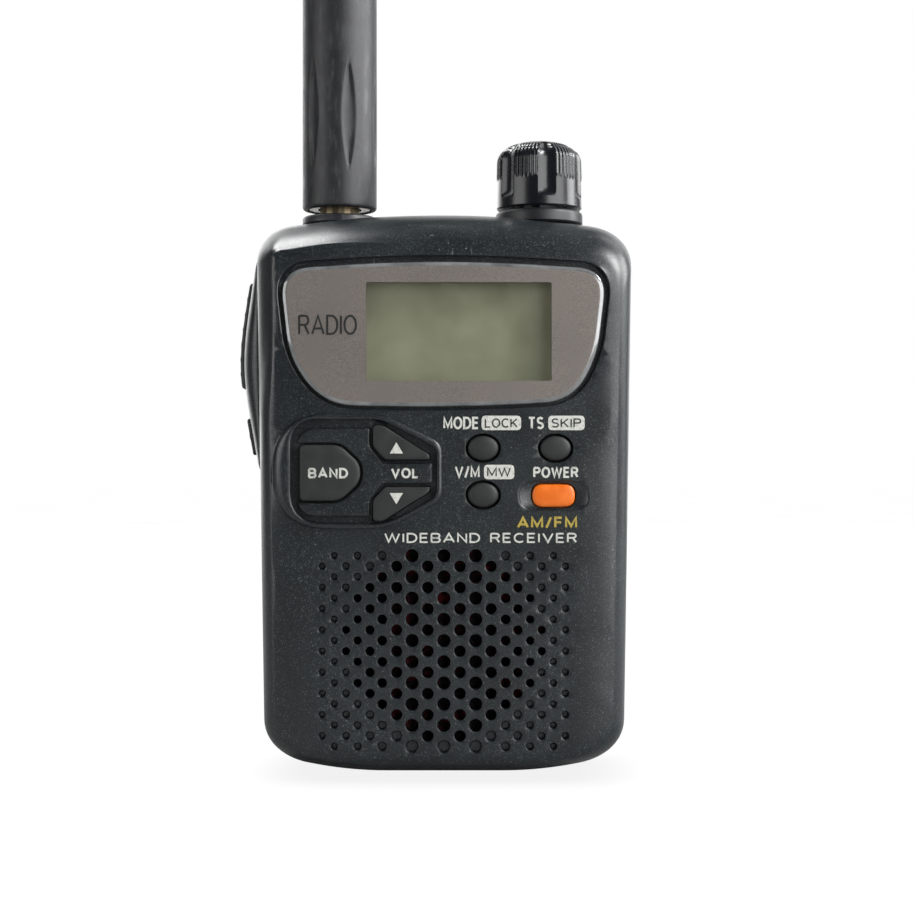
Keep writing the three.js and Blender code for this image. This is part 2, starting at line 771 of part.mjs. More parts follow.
// The part of the bulge's curve between two heights, as a plate outline reaching in to innerX.
function bulgeOutline(out, innerX, low, high, steps) {
  const points = bulge(out).getPoints(24);
  const at = (z) => {
    const k = points.findIndex((p) => p.y >= z);
    const [a, b] = [points[Math.max(k - 1, 0)], points[Math.max(k, 1)]];
    return a.x + ((b.x - a.x) * (z - a.y)) / (b.y - a.y);
  };
  const shape = new THREE.Shape();
  shape.moveTo(innerX, low);
  for (let i = 0; i <= steps; i++) {
    const z = low + ((high - low) * i) / steps;
    shape.lineTo(at(z), z);
  }
  shape.lineTo(innerX, high);
  shape.closePath();
  return shape;
}

function sideKeyPanel() {
  const body = plate(bulgeOutline(0, -SIDE_X - GAP, 46.45, 77.75, 12), -6.5, 6.5);
  const reach = BUTTON_REACH_Y + GAP;
  const window = ({ low, high }) => box(-34, -26, -reach, reach, low - GAP, high + GAP);
  return cut(body, window(UPPER_BUTTON), window(LOWER_BUTTON));
}

function sideButton({ low, high, stem, rise }) {
  const outline = bulgeOutline(rise, -SIDE_X - GAP - KEY_TRAVEL, low, high, 6);
  const cap = plate(outline, -BUTTON_REACH_Y, BUTTON_REACH_Y);
  return join(cap, rodX(0, stem, -30, -26.6, 1, 8));
}

function sideSwitchBoard() {
  const sheet = box(-25.2, -24.4, -4.4, 4.4, 48.5, 74.3);
  const switches = [UPPER_BUTTON, LOWER_BUTTON].map(({ stem }) =>
    box(-25.8, -25, -1.8, 1.8, stem - 1.8, stem + 1.8),
  );
  return join(sheet, ...switches);
}

function phoneJack() {
  const z = JACKS.phone;
  const block = join(box(21.1, 26.2, -3.2, 3.2, z - 3.2, z + 3.2), rodX(0, z, 26, 27.2, 2.6, 12));
  return cut(block, rodX(0, z, 22, 29, 1.8, 12));
}

function powerJack() {
  const z = JACKS.power;
  const block = join(box(21.1, 26.2, -3.2, 3.2, z - 3.2, z + 3.2), rodX(0, z, 26, 27.2, 2.6, 12));
  return join(cut(block, rodX(0, z, 22, 29, 2, 12)), rodX(0, z, 21.5, 27, 0.55, 8));
}

function jackCover() {
  const { low, high, front, hinge, x, half } = FLAP;
  const panel = box(x - half, x + half, front, hinge, low, high);
  const knuckle = rodZ(x, hinge, low, high, half, 8);
  const nailNotch = rodZ(x + half + 0.15, front + 0.9, low + 8, high - 8, 0.4, 8);
  return cut(join(panel, knuckle), nailNotch);
}

// ---- Batteries ----

function cell(side, bottom, upright) {
  const { radius, length, nub } = CELL;
  const body = length - nub;
  const profile = [
    [0, 0],
    [radius - 0.6, 0],
    [radius, 0.6],
    [radius, body - 0.6],
    [radius - 0.6, body],
    [2.7, body],
    [2.7, length],
    [0, length],
  ];
  const turned = profile.map(([r, z]) => [r, bottom + (upright ? z : length - z)]);
  return turnedZ(turned, side * CELL.x, CELL.y, 16);
}

function spring(side, z0, z1) {
  return wire(new Helix(side * CELL.x, CELL.y, z0, z1, 2.6, 2.5), 0.35, 20, 4);
}

function contactBridge() {
  const strip = box(-12.5, 12.5, 0.5, 8, BRIDGE_Z, BRIDGE_Z + 0.5);
  return join(strip, spring(-1, BRIDGE_Z + 0.4, LEFT_CELL_Z - 0.7));
}

function contactPositive() {
  const z = LEFT_CELL_Z + CELL.length + GAP;
  return box(-12, -2.7, 0.5, 8, z, z + 0.5);
}

function contactNegative() {
  const z = RIGHT_CELL_Z + CELL.length;
  return join(box(2.7, 12, 0.5, 8, 60, 60.5), spring(1, z + 0.7, 60.1));
}

// ---- Antenna ----

function antennaJack() {
  const profile = [
    [0, 79.9],
    [4.2, 79.9],
    [4.2, 81.3],
    [3.1, 81.3],
    [3.1, 90.4],
    [2.15, 90.4],
    [2.15, 85.4],
    [0, 85.4],
  ];
  const socket = turnedZ(
    [
      [0, 85],
      [0.85, 85],
      [0.85, 90],
      [0.55, 90],
      [0.55, 86],
      [0, 86],
    ],
    ANTENNA_X,
    0,
    8,
  );
  return join(turnedZ(profile, ANTENNA_X, 0, 20), socket);
}

function antennaSeal() {
  const profile = [
    [3.5, SEAT_Z + GAP],
    [ANTENNA_RADIUS, SEAT_Z + GAP],
    [ANTENNA_RADIUS, 85.4],
    [5.5, 85.6],
    [3.5, 85.6],
    [3.5, SEAT_Z + GAP],
  ];
  return turnedZ(profile, ANTENNA_X, 0, 24);
}

function antennaCoax() {
  const curve = new THREE.CatmullRomCurve3([
    new THREE.Vector3(ANTENNA_X, 0, 79.5),
    new THREE.Vector3(ANTENNA_X, 0.5, 76),
    new THREE.Vector3(ANTENNA_X + 3, 3, 72.5),
    new THREE.Vector3(ANTENNA_X + 5, 5.2, 70),
  ]);
  return wire(curve, 0.55, 10, 6);
}

function antennaNut() {
  const profile = [
    [3.4, ANTENNA_FOOT + 0.15],
    [4.7, ANTENNA_FOOT + 0.15],
    [4.7, 92.6],
    [3.4, 92.6],
    [3.4, ANTENNA_FOOT + 0.15],
  ];
  return turnedZ(profile, ANTENNA_X, 0, 24);
}

function antennaInsulator() {
  const profile = [
    [0.75, 90.8],
    [3.05, 90.8],
    [3.05, 93.2],
    [0.75, 93.2],
    [0.75, 90.8],
  ];
  return turnedZ(profile, ANTENNA_X, 0, 12);
}

function antennaPin() {
  return turnedZ(
    [
      [0, 86.4],
      [0.4, 86.8],
      [0.4, 94.5],
      [0, 94.5],
    ],
    ANTENNA_X,
    0,
    8,
  );
}

function antennaCoil() {
  return wire(new Helix(ANTENNA_X, 0, 95.2, 238, 2, 14), 0.4, 84, 4);
}

function antennaSleeve() {
  const profile = [
    [5.0, ANTENNA_FOOT],
    [ANTENNA_RADIUS - 0.15, ANTENNA_FOOT],
    [ANTENNA_RADIUS, ANTENNA_FOOT + 0.3],
    [ANTENNA_RADIUS, 124],
    [4.5, ANTENNA_TIP - 8],
    [4.1, ANTENNA_TIP - 2.6],
    [2.6, ANTENNA_TIP - 0.6],
    [0, ANTENNA_TIP],
    [0, 243],
    [2.9, 243],
    [2.9, 96],
    [3.5, 93.5],
    [5.0, 93.5],
    [5.0, ANTENNA_FOOT],
  ];
  return turnedZ(profile, ANTENNA_X, 0, 24);
}

// ---- Dial ----

function encoderBody() {
  const can = box(DIAL_X - 5.1, DIAL_X + 5.1, -4.6, 5.2, 73.8, 80.8);
  const bush = rodZ(DIAL_X, 0, 80, 87.6, 3.4, 16);
  return cut(join(can, bush), rodZ(DIAL_X, 0, 78, 90, 2.15, 12));
}

function encoderNut() {
  return cut(rodZ(DIAL_X, 0, SEAT_Z + GAP, 85.8, 4.3, 6), rodZ(DIAL_X, 0, 80, 90, 3.5, 16));
}

function dialCollar() {
  const profile = [
    [4.7, SEAT_Z + GAP],
    [DIAL_RADIUS + 0.1, SEAT_Z + GAP],
    [DIAL_RADIUS + 0.1, 86.3],
    [DIAL_RADIUS, 86.4],
    [4.7, 86.4],
    [4.7, SEAT_Z + GAP],
  ];
  return turnedZ(profile, DIAL_X, 0, 24);
}

function dialKnob() {
  const profile = [
    [4.2, DIAL_FOOT],
    [DIAL_RADIUS, DIAL_FOOT],
    [DIAL_RADIUS - 0.15, 93.6],
    [5.9, 95.4],
    [4.4, 96.6],
    [2.4, 97.2],
    [0, DIAL_TIP],
    [0, 94.8],
    [2.1, 94.8],
    [2.1, 89.2],
    [4.2, 89.2],
    [4.2, DIAL_FOOT],
  ];
  const flutes = [0, 1, 2, 3, 4, 5].map((i) => {
    const angle = -Math.PI / 2 + (10 * Math.PI) / 180 + (i * Math.PI) / 3;
    const reach = DIAL_RADIUS + 1.6;
    return rodZ(DIAL_X + reach * Math.cos(angle), reach * Math.sin(angle), 88.7, 99, 2.2, 8);
  });
  return cut(turnedZ(profile, DIAL_X, 0, 30), together(flutes));
}

function dialShaft() {
  const rod = rodZ(DIAL_X, 0, 78.3, 94.4, 1.95, 12);
  return cut(rod, box(DIAL_X + 1.3, DIAL_X + 3, -3, 3, 89.5, 95));
}

// ---- The assembly ----

const radio = new THREE.Group();

function place(name, geometry, material) {
  const mesh = new THREE.Mesh(geometryOf(solidOf(geometry)), material);
  mesh.name = name;
  radio.add(mesh);
}

place("front_case", frontCase(), charcoal);
place("rear_case", rearCase(), charcoal);
screwPlaces().forEach((xz, i) => place("case_screw_" + (i + 1), caseScrew(xz), steel));
place("board_screw_left", boardScrew(-1), steel);
place("board_screw_right", boardScrew(1), steel);
place("strap_pin", strapPin(), steel);
place("battery_cover", batteryCover(), charcoal);
place("cover_latch", coverLatch(), charcoal);

place("display_lens", displayLens(), lensAcrylic);
place("lcd_panel", lcdPanel(), displayGlass);
place("lcd_frame", lcdFrame(), white);
place("light_guide", lightGuide(), white);
place("zebra_strip", zebraStrip(), keyRubber);

place("keypad_mat", keypadMat(), keyRubber);
place("band_key", bandKey(), keyRubber);
place("volume_up_key", volumeKey(VOLUME_CORNERS), keyRubber);
place("volume_down_key", volumeKey(mirroredVolume(VOLUME_CORNERS)), keyRubber);
place("mode_key", buttonKey(MODE_KEY), keyRubber);
place("step_key", buttonKey(STEP_KEY), keyRubber);
place("memory_key", buttonKey(MEMORY_KEY), keyRubber);
place("power_key", powerKey(), orange);

place("main_board", mainBoard(), board);
place("processor_chip", processorChip(), chipBlack);
place("rf_board", rfBoard(), board);
place("rf_shield", rfShield(), nickel);
place("board_connector", boardConnector(), white);

place("speaker_felt", speakerFelt(), felt);
place("speaker_frame", speakerFrame(), steel);
place("speaker_cone", speakerCone(), paper);
place("speaker_magnet", speakerMagnet(), steel);
place("speaker_cable", speakerCable(), felt);

place("side_key_panel", sideKeyPanel(), charcoal);
place("function_button", sideButton(UPPER_BUTTON), blackRubber);
place("monitor_button", sideButton(LOWER_BUTTON), blackRubber);
place("side_switch_board", sideSwitchBoard(), board);
place("phone_jack", phoneJack(), chipBlack);
place("power_jack", powerJack(), chipBlack);
place("jack_cover", jackCover(), blackRubber);

place("contact_bridge", contactBridge(), nickel);
place("contact_positive", contactPositive(), nickel);
place("contact_negative", contactNegative(), nickel);
place("cell_left", cell(-1, LEFT_CELL_Z, true), cellWrap);
place("cell_right", cell(1, RIGHT_CELL_Z, false), cellWrap);

place("antenna_jack", antennaJack(), brass);
place("antenna_seal", antennaSeal(), blackRubber);
place("antenna_coax", antennaCoax(), copper);
place("antenna_nut", antennaNut(), nickel);
place("antenna_insulator", antennaInsulator(), white);
place("antenna_pin", antennaPin(), brass);
place("antenna_coil", antennaCoil(), copper);
place("antenna_sleeve", antennaSleeve(), blackRubber);

place("encoder_body", encoderBody(), steel);
place("encoder_nut", encoderNut(), nickel);
place("dial_collar", dialCollar(), glossBlack);
place("dial_knob", dialKnob(), glossBlack);
place("dial_shaft", dialShaft(), steel);

export default radio;
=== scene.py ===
"""A pocket radio receiver: its looks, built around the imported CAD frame.

Shapes are worked out in millimetres in the frame's own axes: +Z up, the front faces -Y, +X to the right.
"""
import json
import math

import bmesh
import bpy
import numpy as np
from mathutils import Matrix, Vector
from mathutils.geometry import delaunay_2d_cdt


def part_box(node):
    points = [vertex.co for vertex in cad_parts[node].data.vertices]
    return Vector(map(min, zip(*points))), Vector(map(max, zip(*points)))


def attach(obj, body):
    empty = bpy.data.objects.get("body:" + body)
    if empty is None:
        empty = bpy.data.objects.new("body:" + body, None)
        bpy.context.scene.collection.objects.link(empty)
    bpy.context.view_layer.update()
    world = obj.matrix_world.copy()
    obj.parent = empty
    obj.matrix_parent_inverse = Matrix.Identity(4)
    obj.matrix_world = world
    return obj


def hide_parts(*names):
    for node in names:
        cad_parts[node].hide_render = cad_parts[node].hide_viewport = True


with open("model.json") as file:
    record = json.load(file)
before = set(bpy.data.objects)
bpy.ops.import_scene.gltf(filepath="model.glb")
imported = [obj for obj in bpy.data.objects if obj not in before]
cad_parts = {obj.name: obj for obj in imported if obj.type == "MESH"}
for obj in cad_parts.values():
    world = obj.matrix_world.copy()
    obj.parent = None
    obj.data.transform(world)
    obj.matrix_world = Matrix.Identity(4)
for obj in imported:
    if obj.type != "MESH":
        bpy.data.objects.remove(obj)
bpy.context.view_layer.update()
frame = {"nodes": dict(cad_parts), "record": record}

MM = 0.001
FULL_TURN = 2 * math.pi


# ---- Places taken from the frame ----


def node_box(node):
    """The lowest and highest corners of a CAD node in millimetres."""
    low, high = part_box(node)
    return np.array(low) / MM, np.array(high) / MM


def round_box(node):
    """A round CAD node's axis in x and y, its radius, and its lowest and highest z."""
    low, high = node_box(node)
    x, y, _ = (low + high) / 2
    return x, y, (high[0] - low[0]) / 2, low[2], high[2]


FRONT_HIGH = node_box("front_case")[1]
LENS_LOW, LENS_HIGH = node_box("display_lens")
PANEL_LOW, PANEL_HIGH = node_box("side_key_panel")

CASE_TOP = FRONT_HIGH[2]
FRONT_Y = -node_box("rear_case")[1][1]
HALF_WIDTH_HIGH = 28.98
HALF_WIDTH_LOW = 27.65
TOP_SAG = 1.75
BOTTOM_SAG = 1.2
BOTTOM_FLAT = 9.0
CORNER_TOP = 6.2
CORNER_BOTTOM = 6.8
WALL = 1.6
FACE_WALL = 2.0
TOP_WALL = 2.4
INSIDE_Y = FRONT_Y + FACE_WALL
GROOVE_FLOOR_Y = FRONT_Y + 0.85
PLATE_Y = FRONT_Y - 0.2
# Each rolled edge: its inset at the face, its depth, and how far the wall behind it tapers.
FRONT_ROLL = {"side": (2.6, 4.5, 1.2), "top": (7.1, 9.0, 0.9), "bottom": (1.4, 4.0, 2.25)}
FACETED_ROLL = {**FRONT_ROLL, "top": (4.2, 7.0, 0.8)}
ROUND = 2.0
NEARLY_FLAT = 1.2
TAPER_DEPTH = 11.5
ROLL_STEPS = [0.3, 0.45, 0.7, 0.95, 1.3, 1.75, 2.3, 3, 3.8, 4.7, 5.8, 7, 8, 9, 10.2, TAPER_DEPTH]
FACET_X = 20.9
FACET_TOP = 54.0
FACET_BEND = 46.0
SEAM = 0.14
CUT_GAP = 0.3  # what is cut from the case stands this far off the piece that sits there
BEYOND = 40  # a place to the side of the case, clear of it
LIP = 0.7  # how far a CAD key's hidden lip stands out around its cap
INK_LIFT = -0.03  # printed words stand this far in front of their surface


# ---- Outlines: closed loops of (x, z) points ----


def turn(count):
    return np.arange(count) * FULL_TURN / count


def stretch(a, b, spacing):
    """Evenly spaced points between two points, without the ends."""
    gaps = max(1, int(np.linalg.norm(b - a) / spacing))
    return [a + (b - a) * k / gaps for k in range(1, gaps)]


def rounded(corners, steps=6, spacing=1.6):
    """A loop through corners given as (x, z, how far back the rounding starts)."""
    points = []
    for i, (x, z, back) in enumerate(corners):
        here = np.array((x, z), float)
        before = np.array(corners[i - 1][:2], float) - here
        after = np.array(corners[(i + 1) % len(corners)][:2], float) - here
        start = here + before / np.linalg.norm(before) * back
        end = here + after / np.linalg.norm(after) * back
        if points:
            points += stretch(points[-1], start, spacing)
        for t in np.linspace(0, 1, steps + 1):
            points.append((1 - t) ** 2 * start + 2 * t * (1 - t) * here + t * t * end)
    points += stretch(points[-1], points[0], spacing)
    return np.array(points)


def rounded_box(x0, x1, z0, z1, back, steps=6, spacing=1.6):
    return rounded([(x0, z0, back), (x1, z0, back), (x1, z1, back), (x0, z1, back)], steps, spacing)


def ellipse(x, z, half_width, half_height, count=36):
    return np.stack((x + half_width * np.cos(turn(count)), z + half_height * np.sin(turn(count))), 1)


def area(loop):
    x, z = loop.T
    return 0.5 * np.sum(x * np.roll(z, -1) - np.roll(x, -1) * z)


def offset(loop, distance):
    """The loop moved outwards by a distance; a negative distance moves it inwards."""
    ahead = np.roll(loop, -1, 0) - loop
    ahead /= np.linalg.norm(ahead, axis=1)[:, None]
    normal = np.stack((ahead[:, 1], -ahead[:, 0]), 1)
    if area(loop) < 0:
        normal = -normal
    mixed = normal + np.roll(normal, 1, 0)
    mixed /= np.linalg.norm(mixed, axis=1)[:, None]
    share = np.maximum(np.sum(mixed * normal, 1), 0.5)
    return loop + mixed * (distance / share)[:, None]


def shrunk(loop, amount):
    """The loop drawn in towards its middle by an amount on every side."""
    middle = (loop.min(0) + loop.max(0)) / 2
    return middle + (loop - middle) * (1 - 2 * amount / np.ptp(loop, 0))


def fitted(loop, low, high):
    """The loop moved and scaled so that it fills the space between two corners in X and Z."""
    return low[::2] + (loop - loop.min(0)) / np.ptp(loop, 0) * (high[::2] - low[::2])


def inside(points, loop):
    """Which points lie inside a loop."""
    x, z = points.T
    found = np.zeros(len(points), bool)
    for a, b in zip(loop, np.roll(loop, -1, 0)):
        if a[1] != b[1]:
            crosses = (a[1] > z) != (b[1] > z)
            found ^= crosses & (x < (b[0] - a[0]) * (z - a[1]) / (b[1] - a[1]) + a[0])
    return found


def smooth_step(t):
    t = np.clip(t, 0, 1)
    return t * t * (3 - 2 * t)


def depth_of(y, x, z):
    """A surface's depth, where the surface is a number or a function of x and z."""
    return y(x, z) if callable(y) else np.full(len(x), float(y))


def sunk(y, down):
    """A surface that lies a distance behind another."""
    return lambda x, z: depth_of(y, x, z) + down


# ---- Meshes made from loops ----


class Skin:
    """A closed mesh that grows from loops of points. Faces carry the number of their material."""

    def __init__(self):
        self.points = []
        self.faces = []
        self.materials = []

    def add(self, points):
        start = len(self.points)
        self.points += [tuple(p) for p in points]
        return list(range(start, len(self.points)))

    def loop(self, outline, y):
        """Adds (x, z) points at a depth, which is a number or a function of x and z."""
        x, z = outline.T
        return self.add(np.stack((x, depth_of(y, x, z), z), 1))

    def face(self, corners, material=0):
        self.faces.append(tuple(corners))
        self.materials.append(material)

    def bridge(self, a, b, material=0, closed=True):
        """Quads between two loops of the same length."""
        for i in range(len(a) if closed else len(a) - 1):
            j = (i + 1) % len(a)
            self.face((a[i], a[j], b[j], b[i]), material)

    def chain(self, loops, material=0):
        for a, b in zip(loops, loops[1:]):
            self.bridge(a, b, material)

    def steps(self, outline, y, steps, first=(), material=0, shape=offset):
        """A chain of loops, each a distance out of an outline and down behind a surface."""
        loops = [*first, *(self.loop(shape(outline, out), sunk(y, down)) for out, down in steps)]
        self.chain(loops, material)
        return loops

    def fan(self, loop, lift=(0, 0, 0)):
        """Closes a loop with triangles around its middle."""
        (centre,) = self.add([np.mean([self.points[i] for i in loop], 0) + lift])
        for i, a in enumerate(loop):
            self.face((a, loop[(i + 1) % len(loop)], centre))

    def barrel(self, loops, lift=(0, 0, 0)):
        """A chain of loops, closed at both ends."""
        self.chain(loops)
        self.fan(loops[0])
        self.fan(loops[-1], lift)
        return self

    def ring(self, x, y, radius, z, count):
        """A ring around an upright axis. Its radius is a number, or one for each point."""
        around = turn(count)
        places = (x + radius * np.cos(around), y + radius * np.sin(around), np.full(count, float(z)))
        return self.add(np.stack(places, 1))

    def fill(self, outer, holes=(), y=0.0, spacing=None, material=0, creases=()):
        """Triangles between an outer loop and the holes in it, with extra points where spacing is given.

        Creases are open lines of (x, z) points that the triangles' edges follow.
        """
        loops = [outer, *holes]
        flat = [np.array([self.points[i][::2] for i in loop]) for loop in loops]
        ids = [i for loop in loops for i in loop]
        where = np.concatenate(flat)
        edges = []
        start = 0
        for loop in loops:
            edges += [(start + k, start + (k + 1) % len(loop)) for k in range(len(loop))]
            start += len(loop)
        walls = len(edges)
        for line in creases:
            ids += self.loop(line, y)
            where = np.concatenate((where, line))
            edges += [(start + k, start + k + 1) for k in range(len(line) - 1)]
            start += len(line)
        if spacing:
            extra = inner_points(flat, spacing, creases)
            ids += self.loop(extra, y)
            where = np.concatenate((where, extra))
        made = delaunay_2d_cdt([Vector(p) for p in where], edges, [], 0, 1e-6, True)
        if len(made[0]) != len(where):
            raise ValueError(f"loops cross or touch near {made[0][-1]}")
        source = [ids[origin[0]] for origin in made[3]]
        barriers = {tuple(sorted(e)) for e, of in zip(made[1], made[4]) if any(o < walls for o in of)}
        places = np.array([tuple(p) for p in made[0]])
        for region in regions(made[2], barriers):
            middle = widest_middle(region, places)
            if inside(middle, flat[0])[0] and not any(inside(middle, hole)[0] for hole in flat[1:]):
                for tri in region:
                    self.face([source[i] for i in tri], material)

    def finish(self, name, body, slot, replaces=(), sharp=32, materials=None, smooth=True):
        """Makes the object, which rides on a body and may stand for CAD nodes."""
        obj = new_object(name, self.points, self.faces)
        for polygon, number in zip(obj.data.polygons, self.materials):
            polygon.material_index = number
        for material in materials or [SLOTS[slot]]:
            obj.data.materials.append(material)
        clean(obj.data)
        if smooth:
            shade(obj, sharp)
        return settle(obj, body, slot, replaces)


def regions(triangles, barriers):
    """Groups of triangles that touch across no barrier, without the groups that reach the outside."""
    sides = {}
    for number, tri in enumerate(triangles):
        for k in range(3):
            sides.setdefault(tuple(sorted((tri[k], tri[k - 1]))), []).append(number)
    seen = set()
    for start in range(len(triangles)):
        if start in seen:
            continue
        seen.add(start)
        waiting, group, closed = [start], [], True
        while waiting:
            tri = triangles[waiting.pop()]
            group.append(tri)
            for k in range(3):
                side = tuple(sorted((tri[k], tri[k - 1])))
                if side not in barriers:
                    closed &= len(sides[side]) == 2
                    fresh = [n for n in sides[side] if n not in seen]
                    seen.update(fresh)
                    waiting += fresh
        if closed:
            yield group


def widest_middle(triangles, points):
    """The middle of the largest of some triangles."""
    corners = points[np.array(triangles)]
    a, b = corners[:, 1] - corners[:, 0], corners[:, 2] - corners[:, 0]
    return corners[np.argmax(np.abs(a[:, 0] * b[:, 1] - a[:, 1] * b[:, 0]))].mean(0)[None, :]


def inner_points(loops, spacing, lines=()):
    """A grid of points inside the first loop, clear of every loop and line."""
    low, high = loops[0].min(0) + spacing / 2, loops[0].max(0)
    xs, zs = (np.arange(low[k], high[k], spacing) for k in (0, 1))
    grid = np.array([(x, z) for z in zs for x in xs])
    keep = inside(grid, loops[0])
    for hole in loops[1:]:
        keep &= ~inside(grid, hole)
    grid = grid[keep]
    every = np.concatenate([*loops, *lines])
    clear = [np.min(np.sum((every - p) ** 2, 1)) > (spacing * 0.45) ** 2 for p in grid]
    return grid[np.array(clear, bool)]


def new_object(name, points, faces, scale=MM):
    """An object in the scene, from points in millimetres unless another scale is given."""
    mesh = bpy.data.meshes.new(name)
    mesh.from_pydata([tuple(np.array(p) * scale) for p in points], [], faces)
    return link(name, mesh)


def link(name, data):
    obj = bpy.data.objects.new(name, data)
    bpy.context.scene.collection.objects.link(obj)
    return obj


def clean(mesh):
    """Turns every face outwards and drops what no face uses."""
    work = bmesh.new()
    work.from_mesh(mesh)
    loose = [v for v in work.verts if not v.link_faces]
    bmesh.ops.delete(work, geom=loose, context="VERTS")
    bmesh.ops.recalc_face_normals(work, faces=work.faces)
    if work.calc_volume(signed=True) < 0:
        bmesh.ops.reverse_faces(work, faces=work.faces)
    work.to_mesh(mesh)
    work.free()


def smooth_mesh(mesh, sharp):
    mesh.polygons.foreach_set("use_smooth", [True] * len(mesh.polygons))
    mesh.set_sharp_from_angle(angle=math.radians(sharp))


def shade(obj, sharp):
    """Smooth shading that breaks at edges sharper than an angle in degrees."""
    smooth_mesh(obj.data, sharp)
    obj.modifiers.new("weighted", "WEIGHTED_NORMAL").keep_sharp = True


def settle(obj, body, slot, replaces=()):
    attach(obj, body)
    if replaces:
        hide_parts(*replaces)
    return obj


def apply_modifiers(obj):
    """Bakes an object's modifiers into its mesh."""
    made = bpy.data.meshes.new_from_object(obj.evaluated_get(bpy.context.evaluated_depsgraph_get()))
    old = obj.data
    obj.modifiers.clear()
    obj.data = made
    made.name = old.name
    bpy.data.meshes.remove(old)


def carve(obj, tools):
    """Takes closed skins out of an object."""
    for tool in tools:
        cutter = new_object("tool", tool.points, tool.faces)
        mesh = cutter.data
        clean(mesh)
        boolean = obj.modifiers.new("carve", "BOOLEAN")
        boolean.operation = "DIFFERENCE"
        boolean.solver = "EXACT"
        boolean.object = cutter
        apply_modifiers(obj)
        bpy.data.objects.remove(cutter)
        bpy.data.meshes.remove(mesh)


# ---- Materials: a colour is three numbers from 0 to 255 on a screen, or four of linear light ----


def srgb(red, green, blue):
    """A screen colour as the linear light that Blender mixes."""
    value = np.array((red, green, blue)) / 255
    linear = np.where(value <= 0.04045, value / 12.92, ((value + 0.055) / 1.055) ** 2.4)
    return (*linear.tolist(), 1.0)


def darkened(colour, share):
    return tuple(c * share for c in srgb(*colour)[:3]) + (1.0,)


class Nodes:
    """A node tree that ends in a surface."""

    def __init__(self, tree, output):
        self.tree = tree
        self.surface = tree.nodes[output].inputs["Surface"]

    def node(self, kind, **values):
        made = self.tree.nodes.new(kind)
        for key, value in values.items():
            if key in made.inputs:
                made.inputs[key].default_value = value
            else:
                setattr(made, key, value)
        return made

    def link(self, output, target):
        self.tree.links.new(output, target)

    def ray(self, kind):
        return self.node("ShaderNodeLightPath").outputs[kind]

    def end_in(self, factor, first, second):
        """Ends the tree in two shaders, mixed by a factor."""
        mixed = self.node("ShaderNodeMixShader")
        for output, socket in zip((factor, first, second), mixed.inputs):
            self.link(output, socket)
        self.link(mixed.outputs["Shader"], self.surface)


class Material(Nodes):
    """A node material that starts as a plain Principled surface in object coordinates."""

    def __init__(self, name, roughness=0.5, metallic=0.0, specular=0.5):
        self.material = bpy.data.materials.new(name)
        self.material.use_nodes = True
        super().__init__(self.material.node_tree, "Material Output")
        self.shader = self.tree.nodes["Principled BSDF"]
        self.set("Roughness", roughness)
        self.set("Metallic", metallic)
        self.set("Specular IOR Level", specular)
        self.place = self.node("ShaderNodeTexCoord").outputs["Object"]

    def set(self, name, value):
        self.shader.inputs[name].default_value = value

    def noise(self, size, detail=2.0, roughness=0.5, stretch_by=None):
        """Noise whose features are about `size` millimetres across."""
        texture = self.node("ShaderNodeTexNoise", Scale=1 / (size * MM), Detail=detail, Roughness=roughness)
        place = self.place
        if stretch_by:
            mapping = self.node("ShaderNodeMapping", Scale=stretch_by)
            self.link(place, mapping.inputs["Vector"])
            place = mapping.outputs["Vector"]
        self.link(place, texture.inputs["Vector"])
        return texture.outputs["Fac"]

    def height(self):
        split = self.node("ShaderNodeSeparateXYZ")
        self.link(self.place, split.inputs["Vector"])
        return split.outputs["Z"]

    def ramp(self, value, low, high, dark=0.0, light=1.0):
        """A value stretched so that low gives dark and high gives light."""
        ends = {"From Min": low, "From Max": high, "To Min": dark, "To Max": light}
        made = self.node("ShaderNodeMapRange", **ends)
        self.link(value, made.inputs["Value"])
        return made.outputs["Result"]

    def mix(self, factor, first, second):
        """A colour between two, each a colour or a node's output."""
        made = self.node("ShaderNodeMix", data_type="RGBA")
        self.link(factor, made.inputs["Factor"])
        for key, value in (("A", first), ("B", second)):
            socket = [s for s in made.inputs if s.name == key and s.type == "RGBA"][0]
            if isinstance(value, tuple):
                socket.default_value = value if len(value) == 4 else srgb(*value)
            else:
                self.link(value, socket)
        return [s for s in made.outputs if s.type == "RGBA"][0]

    def blotches(self, cloud, dark, light, edge=0.35):
        return self.mix(self.ramp(cloud, edge, 1 - edge), dark, light)

    def math(self, operation, first, second):
        made = self.node("ShaderNodeMath", operation=operation)
        for socket, value in zip(made.inputs, (first, second)):
            if isinstance(value, float):
                socket.default_value = value
            else:
                self.link(value, socket)
        return made.outputs["Value"]

    def product(self, first, second):
        return self.math("MULTIPLY", first, second)

    def tint(self, output):
        self.link(output, self.shader.inputs["Base Color"])

    def rough(self, value, low, high):
        self.link(self.ramp(value, 0.3, 0.7, low, high), self.shader.inputs["Roughness"])

    def bump(self, value, depth, strength):
        """Raises the surface by up to `depth` millimetres where the value is high."""
        made = self.node("ShaderNodeBump", Strength=strength, Distance=depth * MM)
        self.link(value, made.inputs["Height"])
        self.link(made.outputs["Normal"], self.shader.inputs["Normal"])

    def coat(self, weight, roughness):
        self.set("Coat Weight", weight)
        self.set("Coat Roughness", roughness)


